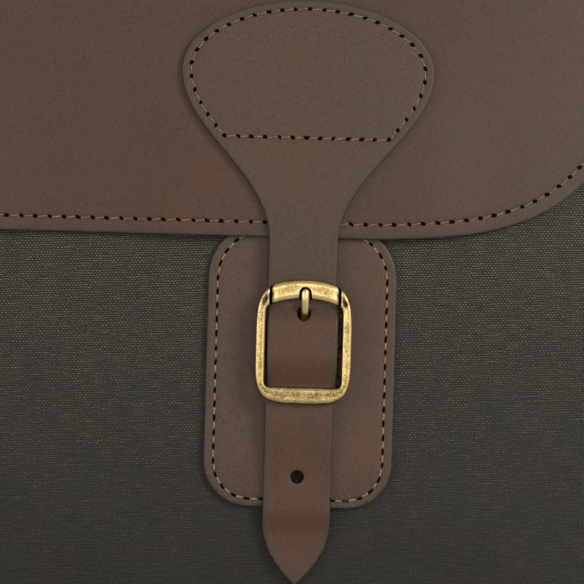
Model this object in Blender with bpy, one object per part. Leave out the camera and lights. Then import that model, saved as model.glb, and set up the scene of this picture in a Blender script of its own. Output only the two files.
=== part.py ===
"""Waxed canvas crossbody bag with a leather flap and two buckled closing straps.

Metres, +Z up, origin on the ground under the middle of the bag, front towards -Y.
Every soft piece of the front is laid out flat on the canvas and then wrapped on it:
x runs across, v is the height above the flap's lower edge, h is how far a face
stands in front of the canvas.
"""
import math

import bmesh
import bpy
import numpy as np

MM = 0.001

# Body of the bag
HALF_WIDTH = 190 * MM
SEAM_HALF_DEPTH = 36 * MM
BELLY = 12 * MM
BELLY_REACH = 110 * MM
BACK_BELLY_SHARE = 0.5
TOP_SLACK = 0.3
CORNER_RADIUS = 40 * MM
MOUTH_HEIGHT = 262 * MM
GUSSET_HEIGHT = 256 * MM
GUSSET_PINCH = 9 * MM
PINCH_START = 120 * MM
CANVAS = 1.5 * MM
GAP = 0.3 * MM

# Leather flap
FLAP_EDGE = 168 * MM
FLAP_LEATHER = 2.4 * MM
FLAP_HALF_WIDTH = 200 * MM
FLAP_BACK_HALF_WIDTH = 184 * MM
FLAP_ARCH = 30 * MM
FLAP_ARCH_POWER = 2.6
FLAP_BACK_END = 222 * MM
FLAP_LOW = 0.6 * MM
FLAP_STRAIGHT = 20 * MM

# Closing straps, patches and buckles
STRAP_X = 82 * MM
STRAP_LEATHER = 2.2 * MM
STRAP_HALF = 12.5 * MM
STRAP_TIP_HALF = 12.2 * MM
STRAP_SPREAD = 0.3 * MM
STRAP_STEP = 0.55 * MM
TIP_START = -102 * MM
TIP_END = -126 * MM
TIP_POWER = 2.25
HEAD_HALF = 45.8 * MM
HEAD_MIDDLE = 60.5 * MM
HEAD_TOP = 86.3 * MM
SPARE_HOLE_V = -86.6 * MM
SPARE_HOLE_RADIUS = 2.5 * MM
PRONG_HOLE_V = -27.3 * MM
PRONG_HOLE_HALF = (2.5 * MM, 2.8 * MM)
PRONG_HOLE_SHIFT = 0.85 * MM

PATCH_HALF = 34.2 * MM
PATCH_TOP = 6 * MM
PATCH_BOTTOM = -97.8 * MM
PATCH_TOP_RADIUS = 21 * MM
PATCH_BOTTOM_RADIUS = 16.5 * MM
PATCH_LEATHER = 2.0 * MM

BUCKLE_SHIFT = 1.0 * MM
PRONG_SHIFT = 0.2 * MM
BUCKLE_OUTER_HALF = (17.45 * MM, 22.45 * MM)
BUCKLE_OUTER_V = -37.65 * MM
BUCKLE_INNER_HALF = (13.85 * MM, 15.95 * MM)
BUCKLE_INNER_V = -38.05 * MM
BUCKLE_OUTER_POWER = 5
BUCKLE_INNER_POWER = 24
BUCKLE_OUTER_ARCH = (3.3 * MM, 0.8 * MM)
BUCKLE_INNER_ARCH = (2.9 * MM, 0)
BUCKLE_BACK = 8.0 * MM
BUCKLE_THICK = 3.0 * MM
BAR_V = -39 * MM
BAR_H = 5.4 * MM
BAR_RADIUS = 1.3 * MM
BAR_RISE = 4.1 * MM
CHAPE_HALF = 11 * MM
CHAPE_LEATHER = 1.2 * MM
CHAPE_END = -74 * MM

# Shoulder strap, its rings and tabs
SHOULDER_WIDTH = 32 * MM
SHOULDER_LEATHER = 2.6 * MM
RING_HALF_WIDTH = 20 * MM
RING_DROP = 20 * MM
RING_WIRE = 1.9 * MM
RING_CORNER = 3.5 * MM
RING_HEIGHT = 242 * MM
TAB_HALF = 15 * MM
TAB_LEATHER = 1.8 * MM
TAB_FOOT = 186 * MM


for old in list(bpy.data.objects):
    bpy.data.objects.remove(old, do_unlink=True)


def linear(hex_colour):
    """sRGB hex text to linear numbers."""
    values = [int(hex_colour[i:i + 2], 16) / 255 for i in (1, 3, 5)]
    return [c / 12.92 if c <= 0.04045 else ((c + 0.055) / 1.055) ** 2.4 for c in values] + [1.0]


def material(name, colour, roughness, metallic=0.0):
    """A plain Principled material."""
    made = bpy.data.materials.new(name)
    made.use_nodes = True
    shader = made.node_tree.nodes["Principled BSDF"]
    shader.inputs["Base Color"].default_value = linear(colour)
    shader.inputs["Roughness"].default_value = roughness
    shader.inputs["Metallic"].default_value = metallic
    return made


CANVAS_LOOK = material("waxed_canvas", "#403d37", 0.75)
FLAP_LOOK = material("flap_leather", "#57473d", 0.5)
STRAP_LOOK = material("strap_leather", "#5b493d", 0.45)
BRASS_LOOK = material("antique_brass", "#c8ad74", 0.35, 1.0)


def smoothstep(t):
    """0 below 0, 1 above 1, and an even S between them."""
    t = np.clip(t, 0.0, 1.0)
    return t * t * (3 - 2 * t)


def add_mesh(name, points, faces, look, sharp=35):
    """One closed body from points and faces, merged where rows close to a point."""
    mesh = bpy.data.meshes.new(name)
    mesh.from_pydata([tuple(p) for p in points], [], faces)
    work = bmesh.new()
    work.from_mesh(mesh)
    bmesh.ops.remove_doubles(work, verts=work.verts, dist=2e-6)
    bmesh.ops.recalc_face_normals(work, faces=work.faces)
    work.to_mesh(mesh)
    work.free()
    mesh.materials.append(look)
    mesh.shade_smooth()
    mesh.set_sharp_from_angle(angle=math.radians(sharp))
    made = bpy.data.objects.new(name, mesh)
    bpy.context.scene.collection.objects.link(made)
    return made


def grid_faces(rows, columns, start, close_rows=False, close_columns=False):
    """Quads between neighbouring points of a rows by columns grid."""
    faces = []
    for i in range(rows if close_rows else rows - 1):
        for j in range(columns if close_columns else columns - 1):
            a, b = i, (i + 1) % rows
            c, d = j, (j + 1) % columns
            faces.append([start + a * columns + c, start + a * columns + d,
                          start + b * columns + d, start + b * columns + c])
    return faces


def thick_sheet(name, inner, outer, look):
    """A sheet with a wall: the two grids face to face, joined round their border."""
    rows, columns = inner.shape[:2]
    count = rows * columns
    faces = grid_faces(rows, columns, 0)
    faces += [face[::-1] for face in grid_faces(rows, columns, count)]
    border = [i * columns for i in range(rows)]
    border += [(rows - 1) * columns + j for j in range(1, columns)]
    border += [i * columns + columns - 1 for i in range(rows - 2, -1, -1)]
    border += list(range(columns - 2, 0, -1))
    for a, b in zip(border, border[1:] + border[:1]):
        faces.append([a, b, count + b, count + a])
    points = np.concatenate([inner.reshape(-1, 3), outer.reshape(-1, 3)])
    return add_mesh(name, points, faces, look)


def unit(vectors):
    """Each vector at length one."""
    return vectors / np.linalg.norm(vectors, axis=-1, keepdims=True)


def grid_normals(grid):
    """Normals of a grid of points, from its two directions."""
    return unit(np.cross(np.gradient(grid, axis=0), np.gradient(grid, axis=1)))


def sweep(name, path, across, up, section, look, closed=False):
    """A section carried along a path; across and up are its two directions there.

    section is a table of closed outlines: one for all stations, or one for each.
    """
    section = np.asarray(section, float)
    if section.ndim == 2:
        section = np.repeat(section[None], len(path), axis=0)
    points = (path[:, None] + across[:, None] * section[:, :, :1] + up[:, None] * section[:, :, 1:])
    stations, sides = section.shape[:2]
    faces = grid_faces(stations, sides, 0, close_rows=closed, close_columns=True)
    if not closed:
        faces.append(list(range(sides)))
        faces.append([(stations - 1) * sides + k for k in range(sides)][::-1])
    return add_mesh(name, points.reshape(-1, 3), faces, look)


def ribbon(name, path, across, width, thickness, look):
    """A flat strip along a path, its width held along the across direction."""
    along = unit(np.gradient(path, axis=0))
    across = unit(across - along * np.sum(across * along, axis=1, keepdims=True))
    w, t = width / 2, thickness / 2
    return sweep(name, path, across, np.cross(along, across), [(-w, -t), (w, -t), (w, t), (-w, t)], look)


def smooth_path(points, count):
    """Even stations on the smooth curve through the points (Catmull-Rom)."""
    points = np.asarray(points, float)
    padded = np.vstack([2 * points[0] - points[1], points, 2 * points[-1] - points[-2]])
    t = np.linspace(0, 1, 24, endpoint=False)[:, None]
    pieces = []
    for a, b, c, d in zip(padded, padded[1:], padded[2:], padded[3:]):
        pieces.append(0.5 * (2 * b + (c - a) * t + (2 * a - 5 * b + 4 * c - d) * t ** 2
                             + (3 * b - a - 3 * c + d) * t ** 3))
    curve = np.vstack(pieces + [points[-1:]])
    length = np.r_[0, np.cumsum(np.linalg.norm(np.diff(curve[:, :3], axis=0), axis=1))]
    wanted = np.linspace(0, length[-1], count)
    return np.column_stack([np.interp(wanted, length, curve[:, k]) for k in range(curve.shape[1])])


def cut(target, cutter, operation="DIFFERENCE"):
    """A Boolean that stays on the target; the other body is hidden from the result."""
    change = target.modifiers.new(cutter.name, "BOOLEAN")
    change.operation = operation
    change.object = cutter
    cutter.hide_render = True
    cutter.display_type = "WIRE"


def belly(x, z):
    """How far the filled canvas stands in front of its seams: a pillow with a flat middle."""
    side = 1 - (1 - np.minimum((HALF_WIDTH - np.abs(x)) / BELLY_REACH, 1)) ** 3
    foot = 1 - (1 - np.minimum(z / BELLY_REACH, 1)) ** 3
    slack = 1 - TOP_SLACK * smoothstep((z - FLAP_EDGE) / (MOUTH_HEIGHT - FLAP_EDGE))
    return BELLY * side * foot * slack


def on_front(x, z, h):
    """The point that stands h in front of the canvas at x and z."""
    x, z, h = np.broadcast_arrays(x, z, h)
    return np.stack([x, -(SEAM_HALF_DEPTH + belly(x, z)) - h, z], axis=-1)


def on_back(x, z, h):
    """The point that stands h behind the canvas of the back."""
    x, z, h = np.broadcast_arrays(x, z, h)
    return np.stack([x, SEAM_HALF_DEPTH + BACK_BELLY_SHARE * belly(x, z) + h, z], axis=-1)


# Canvas body: front, back and one gusset strip for both sides and the bottom

def panel(name, place, side):
    """A panel whose lower corners are round, in upright columns of canvas."""
    turn = np.linspace(0, math.pi / 2, 7)
    corner_x = HALF_WIDTH - CORNER_RADIUS * (1 - np.sin(turn))
    x = np.r_[-corner_x[::-1], np.linspace(-1, 1, 15)[1:-1] * corner_x[0], corner_x]
    over = np.maximum(np.abs(x) - (HALF_WIDTH - CORNER_RADIUS), 0)
    foot = CORNER_RADIUS - np.sqrt(np.maximum(CORNER_RADIUS ** 2 - over ** 2, 0)) + 0.5 * MM
    rise = (np.linspace(0, 1, 12) ** 1.5)[:, None]
    z = foot + (MOUTH_HEIGHT - foot) * rise
    inner = place(x[None, :], z, -CANVAS)
    outer = place(x[None, :], z, 0)
    return thick_sheet(name, inner[:, ::side], outer[:, ::side], CANVAS_LOOK)


panel("canvas_front", on_front, 1)
panel("canvas_back", on_back, -1)


def gusset():
    """A strip down one side, along the bottom and up the other, pinched in at the mouth."""
    turn = np.linspace(0, math.pi / 2, 8)
    upright = np.linspace(GUSSET_HEIGHT, CORNER_RADIUS, 9)[:-1]
    low = np.linspace(-1, 1, 9)[1:-1] * (HALF_WIDTH - CORNER_RADIUS)
    bend_x = HALF_WIDTH - CORNER_RADIUS * (1 - np.cos(turn))
    bend_z = CORNER_RADIUS * (1 - np.sin(turn))
    x = np.r_[np.full(8, -HALF_WIDTH), -bend_x, low, bend_x[::-1], np.full(8, HALF_WIDTH)]
    z = np.r_[upright, bend_z, np.zeros(7), bend_z[::-1], upright[::-1]]
    out_x = np.r_[-np.ones(8), -np.cos(turn), np.zeros(7), np.cos(turn)[::-1], np.ones(8)]
    out_z = np.r_[np.zeros(8), -np.sin(turn), -np.ones(7), -np.sin(turn)[::-1], np.zeros(8)]
    front = -(SEAM_HALF_DEPTH + belly(x, z)) + CANVAS + GAP
    back = SEAM_HALF_DEPTH + BACK_BELLY_SHARE * belly(x, z) - CANVAS - GAP
    share = np.linspace(0, 1, 7)
    y = front[:, None] + (back - front)[:, None] * share
    pinch = GUSSET_PINCH * smoothstep((z - PINCH_START) / (GUSSET_HEIGHT - PINCH_START))
    dip = pinch[:, None] * (1 - np.abs(2 * share - 1) ** 4)
    outer = np.stack([x[:, None] - np.sign(x)[:, None] * dip, y, np.repeat(z[:, None], 7, axis=1)], axis=-1)
    wall = np.stack([out_x, np.zeros_like(x), out_z], axis=-1)[:, None] * CANVAS
    return thick_sheet("canvas_gusset", outer - wall, outer, CANVAS_LOOK)


gusset()

# Flap: one leather panel from the back, over the mouth and down the front

# Bends of its lower corner, going out from the straight edge: length and radius
EDGE_BENDS = ((38 * MM, 280 * MM), (20.5 * MM, 95 * MM))
EDGE_LAST_RADIUS = 61 * MM


def flap_edge_curve():
    """Half of the lower edge: straight, two easy bends, then a round corner to upright."""
    turned = sum(length / radius for length, radius in EDGE_BENDS)
    last = (math.pi / 2 - turned) * EDGE_LAST_RADIUS
    step = 0.25 * MM
    bend = np.concatenate([np.full(round(length / step), 1 / radius)
                           for length, radius in EDGE_BENDS + ((last, EDGE_LAST_RADIUS),)])
    angle = np.r_[0, np.cumsum(bend) * step]
    x = STRAP_X + FLAP_STRAIGHT + np.r_[0, np.cumsum(np.cos(angle[:-1])) * step]
    z = FLAP_EDGE + np.r_[0, np.cumsum(np.sin(angle[:-1])) * step]
    x = STRAP_X + (x - STRAP_X) * (FLAP_HALF_WIDTH - STRAP_X) / (x[-1] - STRAP_X)
    return x, z


def flap_lift(x, z):
    """The flap lies low on the canvas and rises over the top of each patch."""
    beside = np.exp(-((np.abs(x) - STRAP_X) / (58 * MM)) ** 8)
    above = 1 - smoothstep((z - FLAP_EDGE - 15 * MM) / (60 * MM))
    return FLAP_LOW + 1.04 * PATCH_LEATHER * beside * above


def flap():
    """Upright columns from the lower edge, over the arch and down the back."""
    edge_x, edge_z = flap_edge_curve()
    pick = np.linspace(0, 1, 10) ** 0.8 * (len(edge_x) - 1)
    side_x, side_z = edge_x[pick.astype(int)], edge_z[pick.astype(int)]
    middle = np.linspace(-1, 1, 8)[1:-1] * side_x[0]
    x = np.r_[-side_x[::-1], middle, side_x]
    foot = np.r_[side_z[::-1], np.full(6, FLAP_EDGE), side_z]
    rise = np.linspace(0, 1, 7)[:-1, None]
    z = foot + (MOUTH_HEIGHT - foot) * rise
    front = on_front(x, z, flap_lift(x, z))
    turn = np.linspace(0, math.pi, 11)[:, None]
    reach = np.abs(np.cos(turn)) ** (2 / FLAP_ARCH_POWER) * np.sign(np.cos(turn))
    lift = np.abs(np.sin(turn)) ** (2 / FLAP_ARCH_POWER) * FLAP_ARCH
    near = on_front(x, MOUTH_HEIGHT, FLAP_LOW)[:, 1]
    back_x = x * FLAP_BACK_HALF_WIDTH / FLAP_HALF_WIDTH
    far = on_back(back_x, MOUTH_HEIGHT, GAP)[:, 1]
    narrow = 1 + (FLAP_BACK_HALF_WIDTH / FLAP_HALF_WIDTH - 1) * smoothstep(turn / math.pi)
    arch = np.stack(np.broadcast_arrays(x * narrow, (near + far) / 2 + reach * (near - far) / 2,
                                        MOUTH_HEIGHT + lift), axis=-1)
    drop = np.linspace(MOUTH_HEIGHT, FLAP_BACK_END, 4)[1:, None]
    back = on_back(back_x, drop, GAP)
    inner = np.concatenate([front, arch, back])
    outer = inner - grid_normals(inner) * FLAP_LEATHER
    return thick_sheet("flap", inner, outer, FLAP_LOOK)


flap()

# Closing straps with their patches and buckles, one set on each side

# Curve of the head's lower flank: half-width and height
FLANK = ((45.8 * MM, 60.5 * MM), (45.8 * MM, 38 * MM), (14 * MM, 24 * MM), (12.5 * MM, 0))

# Ramps of the strap's inner face: from height, to height, rise
STRAP_RAMPS = ((-24.4 * MM, -32.4 * MM, 3.2 * MM), (-42 * MM, -54 * MM, -3.1 * MM),
               (-62 * MM, -92 * MM, -2.7 * MM),
               (-98 * MM, -108 * MM, -2.0 * MM), (-112 * MM, -126 * MM, 0.8 * MM))


def in_buckle(v):
    """1 inside the buckle's opening and 0 outside, changing behind its upper and lower bar."""
    return smoothstep((-17.5 * MM - v) / (6 * MM)) * smoothstep((v + 60 * MM) / (6 * MM))


def strap_half_width(v):
    """Pointed tip, even strap, flank of the head, then the head's ellipse."""
    t = np.linspace(0, 1, 80)[:, None]
    a, b, c, d = np.array(FLANK)
    flank = a * (1 - t) ** 3 + 3 * b * t * (1 - t) ** 2 + 3 * c * t ** 2 * (1 - t) + d * t ** 3
    head = HEAD_HALF * np.sqrt(np.clip(1 - ((v - HEAD_MIDDLE) / (HEAD_TOP - HEAD_MIDDLE)) ** 2, 0, 1))
    even = STRAP_HALF + (STRAP_TIP_HALF - STRAP_HALF) * np.clip(v / TIP_START, 0, 1)
    even = even + STRAP_SPREAD * in_buckle(v)
    tip = STRAP_TIP_HALF * (1 - np.clip((TIP_START - v) / (TIP_START - TIP_END), 0, 1) ** TIP_POWER)
    side = np.where(v > 0, np.interp(v, flank[::-1, 1], flank[::-1, 0]), even)
    return np.where(v > HEAD_MIDDLE, head, np.where(v < TIP_START, tip, side))


def strap_height(x, v):
    """How far the strap's inner face stands in front of the canvas."""
    level = flap_lift(x, FLAP_EDGE + np.maximum(v, 0)) + FLAP_LEATHER + GAP
    for begin, end, rise in STRAP_RAMPS:
        level = level + rise * smoothstep((v - begin) / (end - begin))
    return level


def closing_strap(name, side):
    """The strap in rows across its length, thick along its own slope."""
    tip = TIP_END + (TIP_START - TIP_END) * np.linspace(0, 1, 7) ** 1.4
    run = np.array([-98, -92, -86, -80, -74, -66, -60, -57, -53, -49.5, -46, -42, -38, -34,
                    -31.5, -28.5, -25.5, -23, -20, -17, -10, -5]) * MM
    flank = np.linspace(0, 1, 9) * HEAD_MIDDLE
    head = HEAD_MIDDLE + (HEAD_TOP - HEAD_MIDDLE) * np.sin(np.linspace(0, math.pi / 2, 8)[1:])
    v = np.r_[tip, run, flank, head][:, None]
    x = side * (STRAP_X + STRAP_STEP * in_buckle(v)) + np.linspace(-1, 1, 6) * strap_half_width(v)
    h = strap_height(x, v)
    slope = (strap_height(x, v + 0.1 * MM) - strap_height(x, v - 0.1 * MM)) / (0.2 * MM)
    inner = on_front(x, FLAP_EDGE + v, h)
    lean = STRAP_LEATHER / np.sqrt(1 + slope ** 2)
    outer = inner + np.stack([np.zeros_like(x), -lean, -slope * lean], axis=-1)
    made = thick_sheet(name, inner, outer, STRAP_LOOK)
    punch(made, "spare_hole", side * STRAP_X, SPARE_HOLE_V, (SPARE_HOLE_RADIUS, SPARE_HOLE_RADIUS))
    punch(made, "prong_hole", side * (STRAP_X + PRONG_HOLE_SHIFT), PRONG_HOLE_V, PRONG_HOLE_HALF)
    return made


def punch(leather, name, x, v, half):
    """A round or oval hole right through the leather, front to back."""
    turn = np.linspace(0, 2 * math.pi, 12, endpoint=False)
    outline = np.stack([half[0] * np.cos(turn), half[1] * np.sin(turn)], axis=-1)
    path = np.array([(x, -30 * MM, FLAP_EDGE + v), (x, -75 * MM, FLAP_EDGE + v)])
    tool = sweep(leather.name + "_" + name, path, np.array([[1.0, 0, 0]] * 2), np.array([[0, 0, 1.0]] * 2),
                 outline, STRAP_LOOK)
    cut(leather, tool)


def patch(name, side):
    """A patch with four round corners; its top is under the flap."""
    turn = np.linspace(0, math.pi / 2, 6)
    low_v = PATCH_BOTTOM + PATCH_BOTTOM_RADIUS * (1 - np.cos(turn))
    high_v = PATCH_TOP - PATCH_TOP_RADIUS * (1 - np.cos(turn[::-1]))
    low_half = PATCH_HALF - PATCH_BOTTOM_RADIUS * (1 - np.sin(turn))
    high_half = PATCH_HALF - PATCH_TOP_RADIUS * (1 - np.sin(turn[::-1]))
    between = np.linspace(low_v[-1], high_v[0], 5)[1:-1]
    v = np.r_[low_v, between, high_v][:, None]
    half = np.r_[low_half, np.full(3, PATCH_HALF), high_half][:, None]
    x = side * STRAP_X + np.linspace(-1, 1, 7) * half
    z = FLAP_EDGE + v
    return thick_sheet(name, on_front(x, z, GAP), on_front(x, z, GAP + PATCH_LEATHER), STRAP_LOOK)


def buckle_point(side, x, v, h):
    """A point of the buckle, measured from the canvas behind its bar."""
    middle = on_front(side * STRAP_X, FLAP_EDGE + BAR_V, 0)
    x, v, h = np.broadcast_arrays(x, v, h)
    return np.stack([side * (STRAP_X + BUCKLE_SHIFT + x), middle[1] - h, FLAP_EDGE + v], axis=-1)


def buckle_edges(turn):
    """Outer edge of the frame and the edge of its opening, each x and v.

    Both are superellipses with an arched top. A point of the opening is the outer one
    moved in by the bars' widths and then along its ray to the inner superellipse.
    """
    (outer_x, outer_v), (inner_x, inner_v) = BUCKLE_OUTER_HALF, BUCKLE_INNER_HALF
    over = np.sign(np.cos(turn)) * np.abs(np.cos(turn)) ** (2 / BUCKLE_OUTER_POWER)
    up = np.sign(np.sin(turn)) * np.abs(np.sin(turn)) ** (2 / BUCKLE_OUTER_POWER)
    near_x = over * (outer_x - (outer_x - inner_x) * np.abs(over) ** 5) / inner_x
    near_v = up * (outer_v - (outer_v - inner_v) * np.abs(up) ** 5) / inner_v
    ray = (np.abs(near_x) ** BUCKLE_INNER_POWER + np.abs(near_v) ** BUCKLE_INNER_POWER)
    near_x, near_v = near_x / ray ** (1 / BUCKLE_INNER_POWER), near_v / ray ** (1 / BUCKLE_INNER_POWER)
    outer = over * outer_x, BUCKLE_OUTER_V + up * outer_v + arched(over, up, BUCKLE_OUTER_ARCH)
    inner = near_x * inner_x, BUCKLE_INNER_V + near_v * inner_v + arched(near_x, near_v, BUCKLE_INNER_ARCH)
    return outer, inner


def arched(over, up, arch):
    """How far the top and the foot of a loop bend towards its middle at its sides."""
    top, foot = arch
    return over ** 2 * (foot * smoothstep(-2 * up) - top * smoothstep(2 * up))


# Section of the frame's bars: share of the width from the opening out, share of the thickness
BAR_SECTION = ((0.0, 0.25), (0.0, 0.70), (0.14, 0.95), (0.35, 1.0), (0.65, 1.0),
               (0.86, 0.95), (1.0, 0.70), (1.0, 0.25), (0.84, 0.0), (0.16, 0.0))


def buckle_frame(name, side):
    """Frame cast round its opening, with a dropped bar across and a notch for the prong."""
    stations = 48
    fine = np.linspace(0, 2 * math.pi, 2001)
    (x, v), _ = buckle_edges(fine)
    corner = (np.abs(x) / BUCKLE_OUTER_HALF[0] * np.abs(v - BUCKLE_OUTER_V) / BUCKLE_OUTER_HALF[1]) ** 4
    length = np.r_[0, np.cumsum(np.hypot(np.diff(x), np.diff(v)) * (1 + 3 * corner[1:]))]
    turn = np.interp(np.linspace(0, length[-1], stations, endpoint=False), length, fine)[:, None]
    (outer_x, outer_v), (inner_x, inner_v) = buckle_edges(turn)
    out, up = np.array(BAR_SECTION).T
    points = buckle_point(side, inner_x + (outer_x - inner_x) * out, inner_v + (outer_v - inner_v) * out,
                          BUCKLE_BACK + BUCKLE_THICK * up)
    faces = grid_faces(stations, len(out), 0, close_rows=True, close_columns=True)
    frame = add_mesh(name, points.reshape(-1, 3), faces, BRASS_LOOK, sharp=50)

    reach = np.array([-15.9, -15.3, -14.6, -13.9, -13.2, 0, 13.2, 13.9, 14.6, 15.3, 15.9]) * MM
    height = BAR_H + BAR_RISE * smoothstep((np.abs(reach) - 13.2 * MM) / (2.2 * MM))
    path = buckle_point(side, reach, BAR_V, height)
    along = unit(np.gradient(path, axis=0))
    up = np.array([[0, 0, 1.0]] * len(path))
    circle = circle_section(BAR_RADIUS, 10)
    bar = sweep(name + "_bar", path, np.cross(up, along), up, circle, BRASS_LOOK)
    cut(frame, bar, "UNION")
    path = buckle_point(side, PRONG_SHIFT, np.array([-17.9, -26]) * MM, BUCKLE_BACK + 1.3 * MM + 2.5 * MM)
    across = np.array([[1.0, 0, 0]] * 2)
    w, t = 2.3 * MM, 2.5 * MM
    notch = sweep(name + "_notch", path, across, np.array([[0, 1.0, 0]] * 2),
                  [(-w, -t), (w, -t), (w, 0.4 * t), (0.6 * w, t), (-0.6 * w, t), (-w, 0.4 * t)], BRASS_LOOK)
    cut(frame, notch)
    return frame


def circle_section(radius, sides):
    """A round section."""
    turn = np.linspace(0, 2 * math.pi, sides, endpoint=False)
    return radius * np.stack([np.cos(turn), np.sin(turn)], axis=-1)


# Shank of the prong after its eye: height, stand-off, half-thickness and half-width
PRONG_SHANK = ((-36.2 * MM, 7.5 * MM, 0.5 * MM, 1.3 * MM), (-33.0 * MM, 7.15 * MM, 0.5 * MM, 1.3 * MM),
               (-30.6 * MM, 6.9 * MM, 0.55 * MM, 1.3 * MM), (-28.7 * MM, 7.6 * MM, 0.75 * MM, 1.35 * MM),
               (-26.2 * MM, 9.4 * MM, 1.0 * MM, 1.4 * MM),
               (-22.8 * MM, 10.8 * MM, 1.15 * MM, 1.45 * MM), (-19.8 * MM, 10.8 * MM, 1.1 * MM, 1.4 * MM),
               (-18.7 * MM, 10.7 * MM, 0.5 * MM, 0.6 * MM))


def prong(name, side):
    """An eye bent round the bar, then a shank through the hole to the notch."""
    turn = np.radians(np.linspace(-195, 90, 13))
    eye_radius = BAR_RADIUS + GAP + 0.5 * MM
    eye = np.stack([BAR_V - eye_radius * np.cos(turn), BAR_H + eye_radius * np.sin(turn),
                    np.full(13, 0.5 * MM), np.full(13, 1.3 * MM)], axis=-1)
    rows = np.vstack([eye[:-2], smooth_path(np.vstack([eye[-1:], PRONG_SHANK]), 10)])
    path = buckle_point(side, PRONG_SHIFT, rows[:, 0], rows[:, 1])
    along = unit(np.gradient(path, axis=0))
    across = np.array([[1.0, 0, 0]] * len(path))
    section = circle_section(1.0, 8)[None] * rows[:, None, :1:-1]
    return sweep(name, path, across, np.cross(along, across), section, BRASS_LOOK)


def chape(name, side):
    """The strip that holds the bar: up the patch, round the bar and back down a little."""
    layer = GAP + PATCH_LEATHER + GAP + CHAPE_LEATHER / 2
    turn = np.radians(np.linspace(-90, 90, 11))
    ring = BAR_RADIUS + GAP + CHAPE_LEATHER / 2
    rise = BAR_H - ring - layer
    v = np.r_[CHAPE_END, -60 * MM, -50 * MM, -43 * MM, BAR_V + ring * np.cos(turn), -43 * MM, -46.5 * MM,
              -49 * MM]
    h = np.r_[layer, layer, layer, layer + rise, BAR_H + ring * np.sin(turn), 6.9 * MM, 5.5 * MM,
              4.85 * MM]
    path = buckle_point(side, -BUCKLE_SHIFT, v, h)
    across = np.array([[1.0, 0, 0]] * len(path))
    strip = ribbon(name, path, across, 2 * CHAPE_HALF, CHAPE_LEATHER, STRAP_LOOK)
    slot_path = buckle_point(side, PRONG_SHIFT, np.array([-43.5, -34]) * MM, 6 * MM)
    w, t = 2.3 * MM, 5 * MM
    slot = sweep(name + "_slot", slot_path, across[:2], np.array([[0, 1.0, 0]] * 2),
                 [(-w, -t), (w, -t), (w, t), (-w, t)], STRAP_LOOK)
    cut(strip, slot)
    return strip


for side, word in ((-1, "left"), (1, "right")):
    closing_strap("closing_strap_" + word, side)
    patch("patch_" + word, side)
    buckle_frame("buckle_frame_" + word, side)
    prong("prong_" + word, side)
    chape("chape_" + word, side)

# Shoulder strap with a leather tab and a ring on each side of the gusset

def wall_x(z):
    """The gusset's outer face beside the tab."""
    pinch = GUSSET_PINCH * smoothstep((z - PINCH_START) / (GUSSET_HEIGHT - PINCH_START))
    return HALF_WIDTH - pinch + 1.0 * MM


RING_X = wall_x(RING_HEIGHT) + GAP + TAB_LEATHER + GAP + RING_WIRE
RING_OUT = 6.0 * MM


def tab(name, side):
    """A strip sewn up the gusset, round the ring's upper bar and down again."""
    ring = RING_WIRE + GAP + TAB_LEATHER / 2
    turn = np.radians(np.linspace(180, 0, 9))
    rows = np.linspace(TAB_FOOT, RING_HEIGHT - 5 * MM, 5)
    back = wall_x(rows) + GAP + TAB_LEATHER / 2
    front_z = np.array([RING_HEIGHT - 6 * MM, RING_HEIGHT - 11 * MM, RING_HEIGHT - 16 * MM,
                        (RING_HEIGHT + TAB_FOOT) / 2, TAB_FOOT + 8 * MM])
    close = wall_x(front_z) + 2 * GAP + 1.5 * TAB_LEATHER
    spread = np.array([3.4, 1.6, 0.2, 0, 0]) * MM
    x = np.r_[back, RING_X + ring * np.cos(turn), close + spread]
    z = np.r_[rows, RING_HEIGHT + ring * np.sin(turn), front_z]
    path = np.stack([side * x, np.zeros_like(x), z], axis=-1)
    across = np.array([[0, 1.0, 0]] * len(path))
    return ribbon(name, path, across, 2 * TAB_HALF, TAB_LEATHER, STRAP_LOOK)


def ring(name, side):
    """A rounded rectangle of wire that hangs from the tab and leans outwards."""
    turn = (np.linspace(0, 90, 6) + np.array([[0], [90], [180], [270]])).ravel()
    corner = np.repeat(np.array([(1, 1), (-1, 1), (-1, -1), (1, -1)]), 6, axis=0)
    turn = np.radians(turn)
    y = corner[:, 0] * (RING_HALF_WIDTH - RING_CORNER) + RING_CORNER * np.cos(turn)
    rise = corner[:, 1] * (RING_DROP / 2 - RING_CORNER) + RING_CORNER * np.sin(turn)
    fall = 0.5 - rise / RING_DROP
    path = np.stack([side * (RING_X + RING_OUT * fall), y, RING_HEIGHT - RING_DROP * fall], axis=-1)
    along = unit(np.roll(path, -1, axis=0) - np.roll(path, 1, axis=0))
    face = unit(np.array([side * RING_DROP, 0, RING_OUT]))
    return sweep(name, path, np.cross(along, face), np.repeat(face[None], 24, axis=0),
                 circle_section(RING_WIRE, 8), BRASS_LOOK, closed=True)


# Route of the right half of the shoulder strap below its ring: x, y, z of the middle line
# and x, y, z of the direction of its width
SHOULDER_ROUTE = (
    (0.1990, 0.000, 0.190, 0.00, 1.00, 0.00),
    (0.2000, 0.001, 0.155, 0.05, 1.00, 0.00),
    (0.2040, 0.004, 0.120, 0.30, 0.95, 0.00),
    (0.2110, 0.010, 0.085, 0.70, 0.70, 0.00),
    (0.2170, 0.020, 0.050, 0.95, 0.30, 0.00),
    (0.2200, 0.036, 0.022, 1.00, 0.05, 0.05),
    (0.2220, 0.062, 0.008, 1.00, 0.00, 0.15),
    (0.2230, 0.092, 0.0105, 0.86, 0.00, 0.50),
    (0.2200, 0.122, 0.0150, 0.50, 0.00, 0.86),
    (0.2070, 0.152, 0.0165, 0.15, 0.00, 1.00),
    (0.1820, 0.182, 0.0165, 0.00, 0.00, 1.00),
    (0.1450, 0.208, 0.0165, 0.00, 0.00, 1.00),
    (0.0980, 0.226, 0.0165, 0.00, 0.00, 1.00),
    (0.0480, 0.236, 0.0165, 0.00, 0.00, 1.00),
)


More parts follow.
